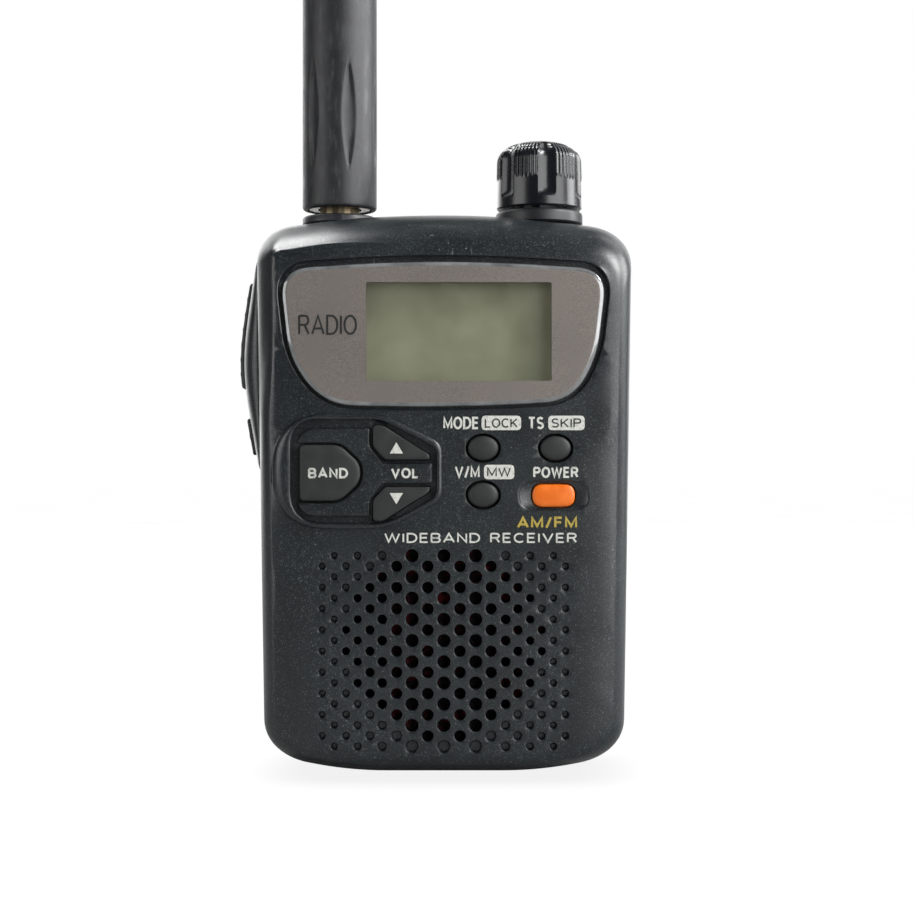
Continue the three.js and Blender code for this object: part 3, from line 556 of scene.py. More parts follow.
def case_plastic():
    """Charcoal plastic with a fine spark texture, small pale specks of wear and scratches near its top."""
    m = Material("case_plastic", specular=0.55)
    cloud = m.noise(9.0, 3.0, 0.55)
    base = m.blotches(cloud, (15, 20, 23), (21, 27, 30))
    flecked = m.mix(m.ramp(m.noise(0.17, 1.0), 0.58, 0.8), base, (84, 92, 92))
    worn = m.product(m.ramp(m.noise(0.34, 2.0, 0.6), 0.7, 0.75), m.ramp(m.noise(6), 0.5, 0.62))
    handled = m.ramp(m.height(), 74 * MM, 79 * MM)
    thin = m.noise(0.5, stretch_by=(1, 1, 0.09))
    scratches = m.product(m.ramp(thin, 0.68, 0.72), m.ramp(m.noise(3.0), 0.52, 0.6, 0, 0.6))
    specks = m.product(m.ramp(m.noise(0.24, 2.0, 0.6), 0.66, 0.7), m.ramp(m.noise(5), 0.45, 0.6, 0, 0.7))
    rubbed = m.product(m.math("MAXIMUM", scratches, specks), handled)
    m.tint(m.mix(m.math("MAXIMUM", worn, rubbed), flecked, (128, 131, 129)))
    m.rough(cloud, 0.29, 0.37)
    m.bump(m.noise(0.16, 2.0, 0.6), 0.03, 0.5)
    return m.material


def cloudy(name, dark, light, rough, grain, size=2.0, edge=0.3, specular=0.5):
    """A moulded material with a faint cloudiness. The grain is its size, its depth and its strength."""
    m = Material(name, specular=specular)
    cloud = m.noise(size, 3.0)
    m.tint(m.blotches(cloud, dark, light, edge))
    m.rough(cloud, *rough)
    m.bump(m.noise(grain[0]), *grain[1:])
    return m.material


def key_rubber():
    grain = (0.12, 0.012, 0.5)
    return cloudy("key_rubber", (32, 34, 34), (39, 41, 40), (0.5, 0.62), grain, 2.5, 0.35, 0.4)


def power_plastic():
    return cloudy("power_orange", (212, 98, 16), (222, 110, 22), (0.32, 0.45), (0.15, 0.01, 0.4), 1.5)


def gloss_black():
    grain = (0.4, 0.004, 0.3)
    return cloudy("gloss_black", (14, 15, 18), (20, 21, 24), (0.1, 0.2), grain, 3.0, specular=0.6)


def plain_plastic(name, colour, roughness):
    rough = (roughness * 0.9, roughness * 1.15)
    return cloudy(name, darkened(colour, 0.85), srgb(*colour), rough, (0.15, 0.008, 0.4))


def black_rubber():
    """Satin black rubber with faint handling marks along its length."""
    m = Material("black_rubber", specular=0.45)
    base = m.blotches(m.noise(4.0, 4.0, 0.6), (26, 27, 30), (36, 37, 40))
    streak = m.noise(0.9, 4.0, 0.65, (1, 1, 0.3))
    m.tint(m.mix(m.ramp(streak, 0.52, 0.72, 0, 0.55), base, (66, 67, 70)))
    m.rough(streak, 0.36, 0.56)
    m.bump(m.noise(0.3, 3.0), 0.015, 0.5)
    return m.material


def metal(name, colour, roughness, grain=(1, 1, 1)):
    m = Material(name, metallic=1.0)
    brushed = m.noise(0.6, 4.0, 0.6, grain)
    m.tint(m.blotches(brushed, darkened(colour, 0.82), colour))
    m.rough(brushed, roughness * 0.8, roughness * 1.3)
    m.bump(brushed, 0.004, 0.4)
    return m.material


def lens_print():
    """Metallic grey-mauve print seen through polished acrylic."""
    m = Material("lens_print", 0.45, metallic=0.35)
    grain = m.noise(0.09, 1.5, 0.6)
    base = m.blotches(m.noise(14), (93, 87, 83), (110, 103, 98), 0.3)
    m.tint(m.mix(m.ramp(grain, 0.38, 0.66), base, (134, 127, 122)))
    m.coat(0.8, 0.06)
    m.bump(grain, 0.01, 0.35)
    return m.material


def clear_acrylic():
    """A thin polished window: clear, with the shine of its outer surface."""
    m = Material("clear_acrylic")
    clear = m.node("ShaderNodeBsdfTransparent")
    shine = m.node("ShaderNodeBsdfGlossy")
    scratch = m.noise(0.8, 4.0, 0.7, (1, 1, 0.2))
    m.link(m.ramp(scratch, 0.3, 0.75, 0.03, 0.16), shine.inputs["Roughness"])
    back = m.node("ShaderNodeNewGeometry").outputs["Backfacing"]
    hidden = m.math("MAXIMUM", m.ray("Is Shadow Ray"), back)
    facing = m.node("ShaderNodeFresnel", IOR=1.45).outputs["Fac"]
    shown = m.product(facing, m.math("SUBTRACT", 1.0, hidden))
    m.end_in(shown, clear.outputs["BSDF"], shine.outputs["BSDF"])
    return m.material


def painted_highlight_lens_edge():
    """The bevelled edge of the lens. The light it gathers is painted in as an opaque light grey with a
    varying painted highlight.
    """
    m = Material("painted_highlight_lens_edge", 0.1, specular=0.8)
    # Painted highlight: light grey stands in for the light that the clear bevel gathers and reflects.
    m.tint(m.blotches(m.noise(3.0), (84, 86, 87), (120, 122, 123), 0.3))
    m.coat(1.0, 0.03)
    return m.material


def display_glass():
    """An unlit liquid-crystal display: grey-green, with painted shade that darkens it towards its top,
    lighter clouds painted as faint reflections, and a painted glow of its own colour.
    """
    m = Material("display_glass", specular=0.35)
    low, high = node_box("lcd_panel")
    # Painted shade: the colour darkens towards the display's top in place of the shadow of the window's edge.
    painted_top_shade = m.ramp(m.height(), low[2] * MM, high[2] * MM)
    base = m.blotches(painted_top_shade, (106, 108, 88), (92, 93, 75), 0.05)
    # Lighter clouds painted in as faint reflections on the glass.
    cloud = m.noise(7.0, 3.0)
    colour = m.mix(m.ramp(cloud, 0.35, 0.75, 0, 0.35), base, (140, 142, 120))
    m.tint(colour)
    # Painted glow: the unlit display gives off its own colour so that it reads bright behind the window.
    m.link(colour, m.shader.inputs["Emission Color"])
    m.set("Emission Strength", 0.27)
    m.rough(cloud, 0.28, 0.42)
    m.bump(m.noise(0.1, 1.0), 0.003, 0.3)
    return m.material


def felt_cloth():
    """Dark dust cloth behind the grille, with patches of old dark-red lint."""
    m = Material("felt", 0.95, specular=0.2)
    patch = m.product(m.ramp(m.noise(3.2), 0.5, 0.66), m.ramp(m.noise(1.0), 0.4, 0.6))
    m.tint(m.mix(patch, m.blotches(m.noise(0.3, 3.0), (14, 14, 15), (30, 30, 31), 0.3), (96, 26, 30)))
    m.bump(m.noise(0.25, 3.0), 0.08, 1.0)
    return m.material


def circuit_board():
    """Green solder mask over copper tracks."""
    m = Material("circuit_board", 0.35)
    tracks = m.node("ShaderNodeTexBrick", Scale=1 / (4 * MM), **{"Mortar Size": 0.06})
    m.link(m.place, tracks.inputs["Vector"])
    base = m.blotches(m.noise(2.0, 3.0), (16, 66, 42), (24, 88, 56), 0.3)
    m.tint(m.mix(tracks.outputs["Fac"], base, (46, 120, 78)))
    m.bump(tracks.outputs["Fac"], 0.03, 0.6)
    return m.material


def ink(name, colour):
    """A worn print."""
    m = Material(name)
    m.tint(m.mix(m.ramp(m.noise(0.5, 3.0, 0.6), 0.3, 0.5), darkened(colour, 0.6), colour))
    return m.material


PRINT = lens_print()
LENS_MATERIALS = [PRINT, clear_acrylic(), painted_highlight_lens_edge()]
COLLAR = plain_plastic("collar_plastic", (24, 27, 30), 0.42)
KNOB = plain_plastic("knob_plastic", (15, 17, 22), 0.24)
LIGHT_INK = ink("light_ink", (196, 197, 190))
DARK_INK = ink("dark_ink", (24, 25, 26))
GOLD_INK = ink("gold_ink", (168, 148, 62))
# The material of each slot in the record.
SLOTS = {
    "case_plastic": case_plastic(),
    "key_rubber": key_rubber(),
    "power_orange": power_plastic(),
    "lens_acrylic": PRINT,
    "display_glass": display_glass(),
    "black_rubber": black_rubber(),
    "gloss_black": gloss_black(),
    "nickel": metal("nickel", (196, 192, 182), 0.22),
    "brass": metal("brass", (118, 106, 86), 0.42),
    "steel": metal("steel", (150, 152, 156), 0.32, (1, 1, 0.15)),
    "copper": metal("copper", (190, 120, 76), 0.3),
    "circuit_board": circuit_board(),
    "felt": felt_cloth(),
    "white_plastic": plain_plastic("white_plastic", (222, 222, 214), 0.5),
    "chip_plastic": plain_plastic("chip_plastic", (26, 27, 28), 0.5),
    "cone_paper": plain_plastic("cone_paper", (30, 30, 31), 0.9),
    "cell_wrap": plain_plastic("cell_wrap", (40, 66, 112), 0.3),
}


# ---- The case's form ----


def half_width(z):
    return HALF_WIDTH_LOW + (HALF_WIDTH_HIGH - HALF_WIDTH_LOW) * z / CASE_TOP


def top_at(x):
    return CASE_TOP - TOP_SAG * (x / (HALF_WIDTH_HIGH - CORNER_TOP)) ** 2


def bottom_at(x):
    beyond = np.maximum(0, np.abs(x) - BOTTOM_FLAT)
    return BOTTOM_SAG * (beyond / (HALF_WIDTH_LOW - CORNER_BOTTOM - BOTTOM_FLAT)) ** 2


def bend(start, start_way, end, end_way, reach, steps=14):
    """Points on a corner that leaves its start and reaches its end along given directions."""
    a = start + start_way * reach
    b = end - end_way * reach
    return [
        (1 - t) ** 3 * start + 3 * t * (1 - t) ** 2 * a + 3 * t * t * (1 - t) * b + t**3 * end
        for t in np.linspace(0, 1, steps + 1)
    ]


def point(x, z):
    return np.array((x, z), float)


def unit(x, z):
    return point(x, z) / np.linalg.norm(point(x, z))


def case_outline(side, top, bottom, corner):
    """The case seen from the front, set in by three amounts, with a given upper corner radius."""
    low = CORNER_BOTTOM - side * 0.3
    foot = HALF_WIDTH_LOW - side - low
    head = HALF_WIDTH_HIGH - side - corner
    under = lambda x: point(x, bottom_at(x) + bottom)
    over = lambda x: point(x, top_at(x) - top)
    wall = lambda z: point(half_width(z) - side, z)
    lean = unit((HALF_WIDTH_HIGH - HALF_WIDTH_LOW) / CASE_TOP, 1)
    wall_low = bottom_at(foot) + bottom + low
    wall_high = top_at(head) - top - corner
    foot_way = unit(1, bottom_at(foot) - bottom_at(foot - 1))
    head_way = unit(-1, top_at(head - 1) - top_at(head))
    right = [under(x) for x in np.linspace(0, foot, 15)[1:-1]]
    right += bend(under(foot), foot_way, wall(wall_low), lean, low * 0.55)
    right += [wall(z) for z in np.linspace(wall_low, wall_high, 34)[1:-1]]
    right += bend(wall(wall_high), lean, over(head), head_way, corner * 0.55)
    right += [over(x) for x in np.linspace(head, 0, 15)[1:-1]]
    left = [p * (-1, 1) for p in reversed(right)]
    return np.array([under(0), *right, over(0), *left])


def roll_inset(roll, behind, shape):
    """How far an edge is set in at a depth. A lower shape number makes the roll flatter."""
    inset, depth, taper = roll
    share = 1 - min(behind / depth, 1)
    narrowed = taper * (1 - min(behind / TAPER_DEPTH, 1))
    return inset * (1 - (1 - share**shape) ** (1 / shape)) + narrowed


def facet_share(x, z):
    """The front's upper left edges are flat facets; this fades them into the round rolls."""
    return smooth_step(-x / 15) * smooth_step((z - 54) / 9)


def roll_outline(behind, wall=0.0, top_wall=0.0):
    """The front half's outline at a depth, set in further by a wall's thickness."""
    def outline(kind, shape, corner):
        side, top, bottom = (roll_inset(kind[edge], behind, shape) for edge in ("side", "top", "bottom"))
        return case_outline(side + wall, top + top_wall, bottom + wall, corner)

    soft = outline(FRONT_ROLL, ROUND, CORNER_TOP)
    share = facet_share(*soft.T)[:, None]
    tight = max(1.4, CORNER_TOP - 1.7 * roll_inset(FACETED_ROLL["side"], behind, NEARLY_FLAT))
    return soft * (1 - share) + outline(FACETED_ROLL, NEARLY_FLAT, tight) * share


def crown(x, z):
    """How far the gently domed face lies behind its highest point."""
    return 0.22 * (x / 25) ** 2 + 0.12 * ((z - 43) / 40) ** 2


def facet_line(z):
    """The left edge of the shallow facet down the right of the front, which bends away at its top."""
    return FACET_X + 5.0 * (np.maximum(0, z - FACET_BEND) / (FACET_TOP - FACET_BEND)) ** 2


def facet_depth(x, z):
    return np.where(z < FACET_TOP, 0.075 * np.maximum(0, x - facet_line(z)), 0)


def rolled(inset, roll):
    """How deep a rolled edge lies at a distance in from its outline."""
    reach, depth, taper = roll
    share = np.clip((reach + taper - inset) / reach, 0, 1)
    return depth * (1 - np.sqrt(1 - share * share))


def face_y(x, z):
    """The front face, with the start of its rolled edges."""
    edges = rolled(half_width(z) - np.abs(x), FRONT_ROLL["side"])
    edges = np.maximum(edges, rolled(top_at(x) - z, FRONT_ROLL["top"]))
    edges = np.maximum(edges, rolled(z - bottom_at(x), FRONT_ROLL["bottom"]))
    return FRONT_Y + crown(x, z) + edges * (1 - facet_share(x, z)) + facet_depth(x, z)


def lens_y(x, z):
    return LENS_LOW[1] + crown(x, z) * 0.8


def plate_y(x, z):
    return PLATE_Y + 0.1 * ((x + 12) / 10) ** 2


def shell(skin):
    """Lofts the front half from its face to the parting line, and back up its inside."""
    deep = FRONT_HIGH[1] - FRONT_Y
    loops = []
    for behind in ROLL_STEPS:
        outline = roll_outline(behind)
        x, z = outline.T
        y = FRONT_Y + behind + (crown(x, z) + facet_depth(x, z)) * max(0.0, 1 - behind / 3)
        if behind == ROLL_STEPS[0]:
            y -= 0.25 * facet_share(x, z)
        loops.append(skin.add(np.stack((x, y, z), 1)))
    for behind, extra in ((deep - SEAM, 0), (deep, SEAM)):
        loops.append(skin.loop(roll_outline(behind, extra, extra), FRONT_Y + behind))
    for behind in (deep, 9, 6, 4.5, 3.2, FACE_WALL):
        loops.append(skin.loop(roll_outline(behind, WALL, TOP_WALL), FRONT_Y + behind))
    skin.chain(loops)
    return loops[0], loops[-1]


def hole(skin, outline, top, bottom, soften=0.12):
    """A hole with a softened rim. Returns its outermost loop and its lowest loop."""
    loops = skin.steps(outline, top, ((soften, 0), (soften * 0.3, soften * 0.3), (0, soften)))
    end = skin.loop(outline, bottom)
    skin.bridge(loops[-1], end)
    return loops[0], end


# ---- Outlines on the front ----

LENS_CORNERS = [
    (-24.4, 76.2, 4.6), (-1, 77.7, 14), (24.2, 76.2, 4.6), (22.7, 63.5, 3.3),
    (19, 56.6, 4.3), (0, 55.6, 12), (-17.8, 56.1, 4.6), (-22.9, 63, 3.8),
]
RIM_FOOT_CORNERS = [
    (-25.3, 54.95, 8.5), (-9.3, 54.85, 2.5), (-0.25, 50.4, 1.6),
    (-0.25, 42.0, 1.6), (-8.4, 37.8, 2.5), (-25.3, 37.6, 8.5),
]
GROOVE_CORNERS = [
    (-22.7, 54.05, 4.2), (-9.2, 54.05, 1.6), (-0.95, 49.8, 1.2),
    (-0.95, 42.5, 1.4), (-8.4, 38.5, 2.0), (-22.7, 38.5, 5.0),
]
# The plate between the band and volume keys, which reaches the groove only where no key does.
PLATE_CORNERS = [
    (-21.75, 50.45, 0.5), (-15.2, 50.45, 1.2), (-11.95, 47.5, 1.3), (-11.95, 44.6, 1.3),
    (-15.2, 41.65, 1.2), (-21.75, 41.65, 0.5), (-20.6, 39.65, 1.6), (-10.95, 39.65, 0.45),
    (-10.95, 41.9, 0.4), (-9.0, 44.5, 0.4), (-1.75, 44.5, 0.3), (-1.75, 47.5, 0.3),
    (-9.0, 47.5, 0.4), (-10.95, 50.1, 0.4), (-10.95, 52.65, 0.45), (-20.6, 52.65, 1.6),
]
BAND_CORNERS = [(0, 0, 0.8), (6.0, 0, 1.2), (9.1, 2.8, 1.3), (9.1, 5.5, 1.3), (6.0, 8.3, 1.2), (0, 8.3, 0.8)]
VOLUME_CORNERS = [(0, 5.3, 0.7), (1.5, 5.3, 0.6), (8.6, 0.7, 0.3), (8.6, 0, 0.25), (1.8, 0, 0.4), (0, 2, 0.6)]


def cap_outline(loop, node):
    """A key cap's outline, placed on its CAD node, whose box also holds the lip."""
    low, high = node_box(node)
    return fitted(loop, low + LIP, high - LIP)


LENS = fitted(rounded(LENS_CORNERS, 12), LENS_LOW, LENS_HIGH)
WINDOW = rounded_box(-11.5, 15.9, 59.65, 74.2, 0.35, 3)
POD_CENTRE = np.array((-12.0, 46.0))
RIM_LOW = 0.34  # how far the pod's rim stands out at its narrow end
RIM_MORE = 0.62  # and how much more at its broad end
OVAL = ellipse(0, 0, 1, 1)
KEY_SHAPES = {
    "band_key": rounded(BAND_CORNERS, 8),
    "volume_up_key": rounded(VOLUME_CORNERS),
    "volume_down_key": rounded([(x, -z, r) for x, z, r in VOLUME_CORNERS][::-1]),
    "mode_key": OVAL,
    "step_key": OVAL,
    "memory_key": OVAL,
    "power_key": rounded_box(0, 6.3, 0, 3.3, 1.6, 10),
}
CAPS = {node: cap_outline(shape, node) for node, shape in KEY_SHAPES.items()}
POD_KEYS = ("band_key", "volume_up_key", "volume_down_key")
OVAL_KEYS = ("mode_key", "step_key", "memory_key")

GRILLE_ROWS = 19
GRILLE_PITCH = 1.568
GRILLE_DROP = 0.87  # how far the pattern hangs below the middle of the felt
GRILLE_REACH = 14.7  # holes further out than this from the middle are only dimples
# The distance from the middle and the diameter of the holes in each column.
GRILLE_COLUMNS = [
    (0, 1.93), (2.38, 1.7), (4.7, 1.93), (6.97, 1.63), (9.12, 1.43),
    (10.93, 1.36), (12.75, 1.22), (14.47, 1.2), (16.2, 1.09), (18.0, 1.1),
]
DIMPLE = ((0.12, 0), (0.03, 0.05), (-0.04, 0.25), (-0.1, 0.6), (-0.24, 0.85))


def grille(skin):
    """Adds the grille's holes and dimples. Returns their rims, and the inner ends of the through holes."""
    low, high = node_box("speaker_felt")
    centre = (low[2] + high[2]) / 2
    rims, ends = [], []
    for row in range(GRILLE_ROWS):
        z = centre + (GRILLE_ROWS // 2 - row) * GRILLE_PITCH - GRILLE_DROP
        for x, diameter in GRILLE_COLUMNS[row % 2::2]:
            for side in (-1, 1) if x else (1,):
                count = 20 if diameter > 1.5 else 16
                outline = ellipse(side * x, z, diameter / 2, diameter / 2, count)
                if math.hypot(x, z - centre) <= GRILLE_REACH:
                    rim, end = hole(skin, outline, face_y, INSIDE_Y, 0.13)
                    ends.append(end)
                else:
                    loops = skin.steps(outline, face_y, DIMPLE)
                    skin.fan(loops[-1], (0, 0.02, 0))
                    rim = loops[0]
                rims.append(rim)
    return rims, ends


def around(corners, count=150):
    """An outline as points at equal angles around the middle of the pod."""
    fine = rounded(corners, 14, 0.2) - POD_CENTRE
    angle = np.arctan2(fine[:, 1], fine[:, 0])
    order = np.argsort(angle)
    reach = np.hypot(*fine.T)[order]
    wanted = -math.pi + (np.arange(count) + 0.5) * FULL_TURN / count
    radius = np.interp(wanted, angle[order], reach, period=FULL_TURN)
    return POD_CENTRE + np.stack((np.cos(wanted), np.sin(wanted)), 1) * radius[:, None]


def pod_rim(swell):
    """The front face raised by a share of the rim, which stands highest at its broad left end."""
    return lambda x, z: face_y(x, z) - (RIM_LOW + RIM_MORE * smooth_step((-13 - x) / 9)) * swell


def key_pod(skin):
    """The rim and the groove around the band and volume keys."""
    foot = around(RIM_FOOT_CORNERS)
    groove = around(GROOVE_CORNERS)
    loops = [skin.loop(offset(foot, 0.22), face_y)]
    for share in (1, 0.985, 0.94, 0.86, 0.74, 0.6, 0.45, 0.3, 0.16, 0.06, 0):
        swell = (1 - share**2.2) ** 0.7 * (1 - 0.22 * (1 - share) ** 4)
        loops.append(skin.loop(groove + (foot - groove) * share, pod_rim(swell)))
    loops.append(skin.loop(offset(groove, -0.03), pod_rim(0.6)))
    loops.append(skin.loop(offset(groove, -0.06), GROOVE_FLOOR_Y))
    skin.chain(loops)
    holes = [hole(skin, offset(CAPS[node], 0.12), GROOVE_FLOOR_Y, INSIDE_Y, 0.03) for node in POD_KEYS]
    skin.fill(loops[-1], [top for top, _ in holes], GROOVE_FLOOR_Y)
    return loops[0], [end for _, end in holes]


def key_plate():
    """The plate that fills the pod between its keys."""
    outline = rounded(PLATE_CORNERS, 5, 1.2)
    foot_y = GROOVE_FLOOR_Y - 0.02
    skin = Skin()
    steps = ((0, 0.22), (-0.05, 0.09), (-0.11, 0.02), (-0.16, 0))
    loops = skin.steps(outline, plate_y, steps, [skin.loop(outline, foot_y)])
    skin.fill(loops[-1], [], plate_y, 1.2)
    skin.fill(loops[0], [], foot_y)
    skin.finish("visual_key_plate", "root", "case_plastic", (), 50)


def lens_recess(skin):
    floor_y = LENS_HIGH[1] + 0.3
    top, foot = hole(skin, offset(LENS, 0.7) + (0.08, 0.25), face_y, floor_y, 0.18)
    window, end = hole(skin, offset(WINDOW, 0.2), floor_y, INSIDE_Y, 0.05)
    skin.fill(foot, [window], floor_y)
    return top, end


def power_dish(skin):
    """A shallow round-ended scoop around the power key."""
    dish = rounded_box(11.2, 21.2, 40.6, 44.8, 2.0, 12)
    depth = 0.24
    loops = skin.steps(dish, face_y, ((0.45, 0), (0.25, 0), (0.1, 0.05), (0, 0.15), (-0.08, depth)))
    bottom = sunk(face_y, depth)
    top, end = hole(skin, offset(CAPS["power_key"], 0.2), bottom, INSIDE_Y, 0.05)
    skin.fill(loops[-1], [top], bottom)
    return loops[0], end


def front_case():
    """The front half, cut out for the side panel, the sockets' cover and the two seats on its top."""
    skin = Skin()
    face, inner = shell(skin)
    rims, ends = grille(skin)
    for cut in (lens_recess, power_dish):
        rim, end = cut(skin)
        rims.append(rim)
        ends.append(end)
    rim, pod_ends = key_pod(skin)
    rims.append(rim)
    ends += pod_ends
    for node in OVAL_KEYS:
        rim, end = hole(skin, offset(CAPS[node], 0.35), face_y, INSIDE_Y, 0.16)
        rims.append(rim)
        ends.append(end)
    heights = np.linspace(7.5, 39.3, 24), np.linspace(FACET_BEND, FACET_TOP - 0.7, 12)
    skin.fill(face, rims, face_y, 1.7, 0, [np.stack((facet_line(z), z), 1) for z in heights])
    skin.fill(inner, ends, INSIDE_Y)
    front = skin.finish("visual_front_case", "root", "case_plastic", ["front_case"], 28)
    side = side_tool("side_key_panel", -BEYOND, PANEL_HIGH[0] + 0.02)
    flap = side_tool("jack_cover", node_box("jack_cover")[0][0] - CUT_GAP, BEYOND)
    carve(front, [side, flap, round_tool("antenna_seal"), round_tool("dial_collar")])
    clean(front.data)
    shade(front, 28)


def prism(outline, x0, x1):
    """A closed tool between two x places, from (y, z) points."""
    tool = Skin()
    return tool.barrel([tool.add([(x, y, z) for y, z in outline]) for x in (x0, x1)])


def side_tool(node, x0, x1):
    """A box around a node on the case's side, that also opens the case's rear edge."""
    low, high = node_box(node)
    y0, y1 = low[1] - CUT_GAP, 12
    z0, z1 = low[2] - CUT_GAP, high[2] + CUT_GAP
    return prism([(y0, z0), (y1, z0), (y1, z1), (y0, z1)], x0, x1)


def round_tool(node):
    """A tall round tool, a little wider than a round node and starting just below it."""
    x, y, radius, foot, _ = round_box(node)
    tool = Skin()
    return tool.barrel([tool.ring(x, y, radius + CUT_GAP, z, 96) for z in (foot - CUT_GAP, 100)])


# ---- Lens, display and keys ----


def display_lens():
    """A clear-windowed plate with a bevelled edge; its print lies behind the acrylic."""
    skin = Skin()
    back = LENS_HIGH[1]
    edge = ((0, 0.5), (-0.12, 0.22), (-0.42, 0.05), (-0.62, 0))
    loops = skin.steps(LENS, lens_y, edge, [skin.loop(LENS, back)], 2)
    inner = skin.loop(offset(LENS, -0.95), lens_y)
    skin.bridge(loops[-1], inner)
    for outer, y, spacing in ((inner, lens_y, 3.0), (loops[0], back, None)):
        window = skin.loop(WINDOW, y)
        skin.fill(outer, [window], y, spacing, 0)
        skin.fill(window, [], y, spacing, 1)
    skin.finish("visual_display_lens", "root", "lens_acrylic", ["display_lens"], 18, LENS_MATERIALS)


def lcd():
    """The display's glass, set back behind the window."""
    low, high = node_box("lcd_panel")
    skin = Skin()
    loops = []
    for inset, y in ((0, high[1]), (0, low[1] + 0.1), (0.1, low[1])):
        outline = rounded_box(low[0] + inset, high[0] - inset, low[2] + inset, high[2] - inset, 0.3, 2)
        loops.append(skin.loop(outline, y))
    skin.chain(loops)
    skin.fill(loops[-1], [], low[1], 3.0)
    skin.fill(loops[0], [], high[1])
    skin.finish("visual_lcd_panel", "root", "display_glass", ["lcd_panel"])


def key_top(node, dome):
    """The domed top of a key."""
    front = node_box(node)[0][1]
    middle = CAPS[node].mean(0)
    span = np.ptp(CAPS[node], 0) / 2

    def top(x, z):
        out = ((x - middle[0]) / span[0]) ** 2 + ((z - middle[1]) / span[1]) ** 2
        return front + dome * np.minimum(out, 1.3)

    return top


def key(node, slot, dome, bevel):
    """A key: a cap with rolled edges and a slightly domed top, on a wider lip behind the case."""
    back = node_box(node)[1][1]
    outline = CAPS[node]
    lip = shrunk(outline, -LIP * 0.8)
    top = key_top(node, dome)
    skin = Skin()
    first = [skin.loop(lip, back), skin.loop(lip, back - 0.6), skin.loop(outline, back - 0.6)]
    steps = [(0, 1.0), (0.2, 0.55), (0.6, 0.25), (4 / 3, 0.08), (2.5, 0.0)]
    steps = [(inset * bevel, down * bevel) for inset, down in steps]
    loops = skin.steps(outline, top, steps, first, shape=shrunk)
    skin.fill(loops[-1], [], top, 0.9)
    skin.fill(loops[0], [], back)
    skin.finish("visual_" + node, node, slot, [node], 55)


def keys():
    key("band_key", "key_rubber", 0.12, 0.34)
    key("volume_up_key", "key_rubber", 0.12, 0.26)
    key("volume_down_key", "key_rubber", 0.12, 0.26)
    for node in OVAL_KEYS:
        key(node, "key_rubber", 0.22, 0.4)
    key("power_key", "power_orange", 0.1, 0.3)


# ---- Round parts ----

COLLAR_RIM = ((0, 0.6), (0.12, 0.28), (0.4, 0.08), (0.8, 0))
SEAL_RIM = ((0, 0.35), (0.15, 0.1), (0.4, 0))


def washer(node, slot, materials, inner, foot_bevel, rim, inner_bevel):
    """A turned ring. Its outer top edge steps in and down from the node's own edge."""
    x, y, outer, foot, top = round_box(node)
    profile = [(inner, foot), (outer - foot_bevel, foot), (outer, foot + foot_bevel)]
    profile += [(outer - inset, top - down) for inset, down in rim]
    profile += [(inner + inner_bevel, top), (inner, top - inner_bevel)]
    skin = Skin()
    rings = [skin.ring(x, y, radius, z, 96) for radius, z in profile]
    skin.chain([*rings, rings[0]])
    skin.finish("visual_" + node, "root", slot, [node], 40, materials)


def from_nearest(angles, first, count):
    """How far each angle is from the nearest of some evenly spaced angles."""
    sector = FULL_TURN / count
    return (angles - first + sector / 2) % sector - sector / 2


def dial_knob():
    """The tuning knob: fine ribs between six scooped flutes, under a domed top."""
    x, y, radius, foot, tip = round_box("dial_knob")
    flutes = 6
    flute_width = 2.85
    rib_pitch = 0.65
    ribs_from = foot + 4.4
    front = math.radians(-81.5)
    break_line = tip - 1.5
    shoulder = tip - 3.5
    angles = turn(540)

    def base(z):
        if z < shoulder:
            return radius - 0.18 * (z - foot) / (shoulder - foot)
        t = (z - shoulder) / (tip - shoulder)
        return (radius - 0.18) * math.sqrt(max(0.0, 1 - t**2.3)) ** 0.92

    def surface(z):
        across = np.abs(from_nearest(angles, front, flutes) * radius)
        half = flute_width / 2 * (1 - 0.25 * smooth_step((z - shoulder) / 3))
        top_fade = smooth_step((tip - 0.35 - z) / 0.9)
        low_fade = np.clip((z - (foot + 1.8)) / 0.9, 0, 1)
        scoop = np.clip(1 - (across / half) ** 2, 0, 1)
        cut = 0.5 * scoop * math.sqrt(low_fade * (2 - low_fade)) * top_fade
        phase = (across - math.pi / flutes * radius) / rib_pitch
        wave = 0.5 + 0.5 * np.cos(FULL_TURN * phase)
        rib_fade = smooth_step((z - ribs_from) / 0.4)
        if z > break_line:
            rib_fade = smooth_step((z - break_line - 0.22) / 0.15) * smooth_step((tip - 0.45 - z) / 0.3)
        line = 0.1 * math.exp(-(((z - break_line) / 0.09) ** 2))
        return base(z) - cut + np.where(across > half + 0.12, 0.13 * wave**0.7 * rib_fade, 0) - line

    side = np.linspace(foot + 0.25, shoulder, 26)
    dome = shoulder + (tip - 0.02 - shoulder) * np.sin(np.linspace(0.06, math.pi / 2, 34))
    skin = Skin()
    rings = [skin.ring(x, y, radius - 0.25, foot, len(angles))]
    rings += [skin.ring(x, y, surface(z), z, len(angles)) for z in (*side, *dome)]
    skin.barrel(rings, (0, 0, 0.02))
    skin.finish("visual_dial_knob", "dial", "gloss_black", ["dial_knob", "dial_shaft"], 45, [KNOB])


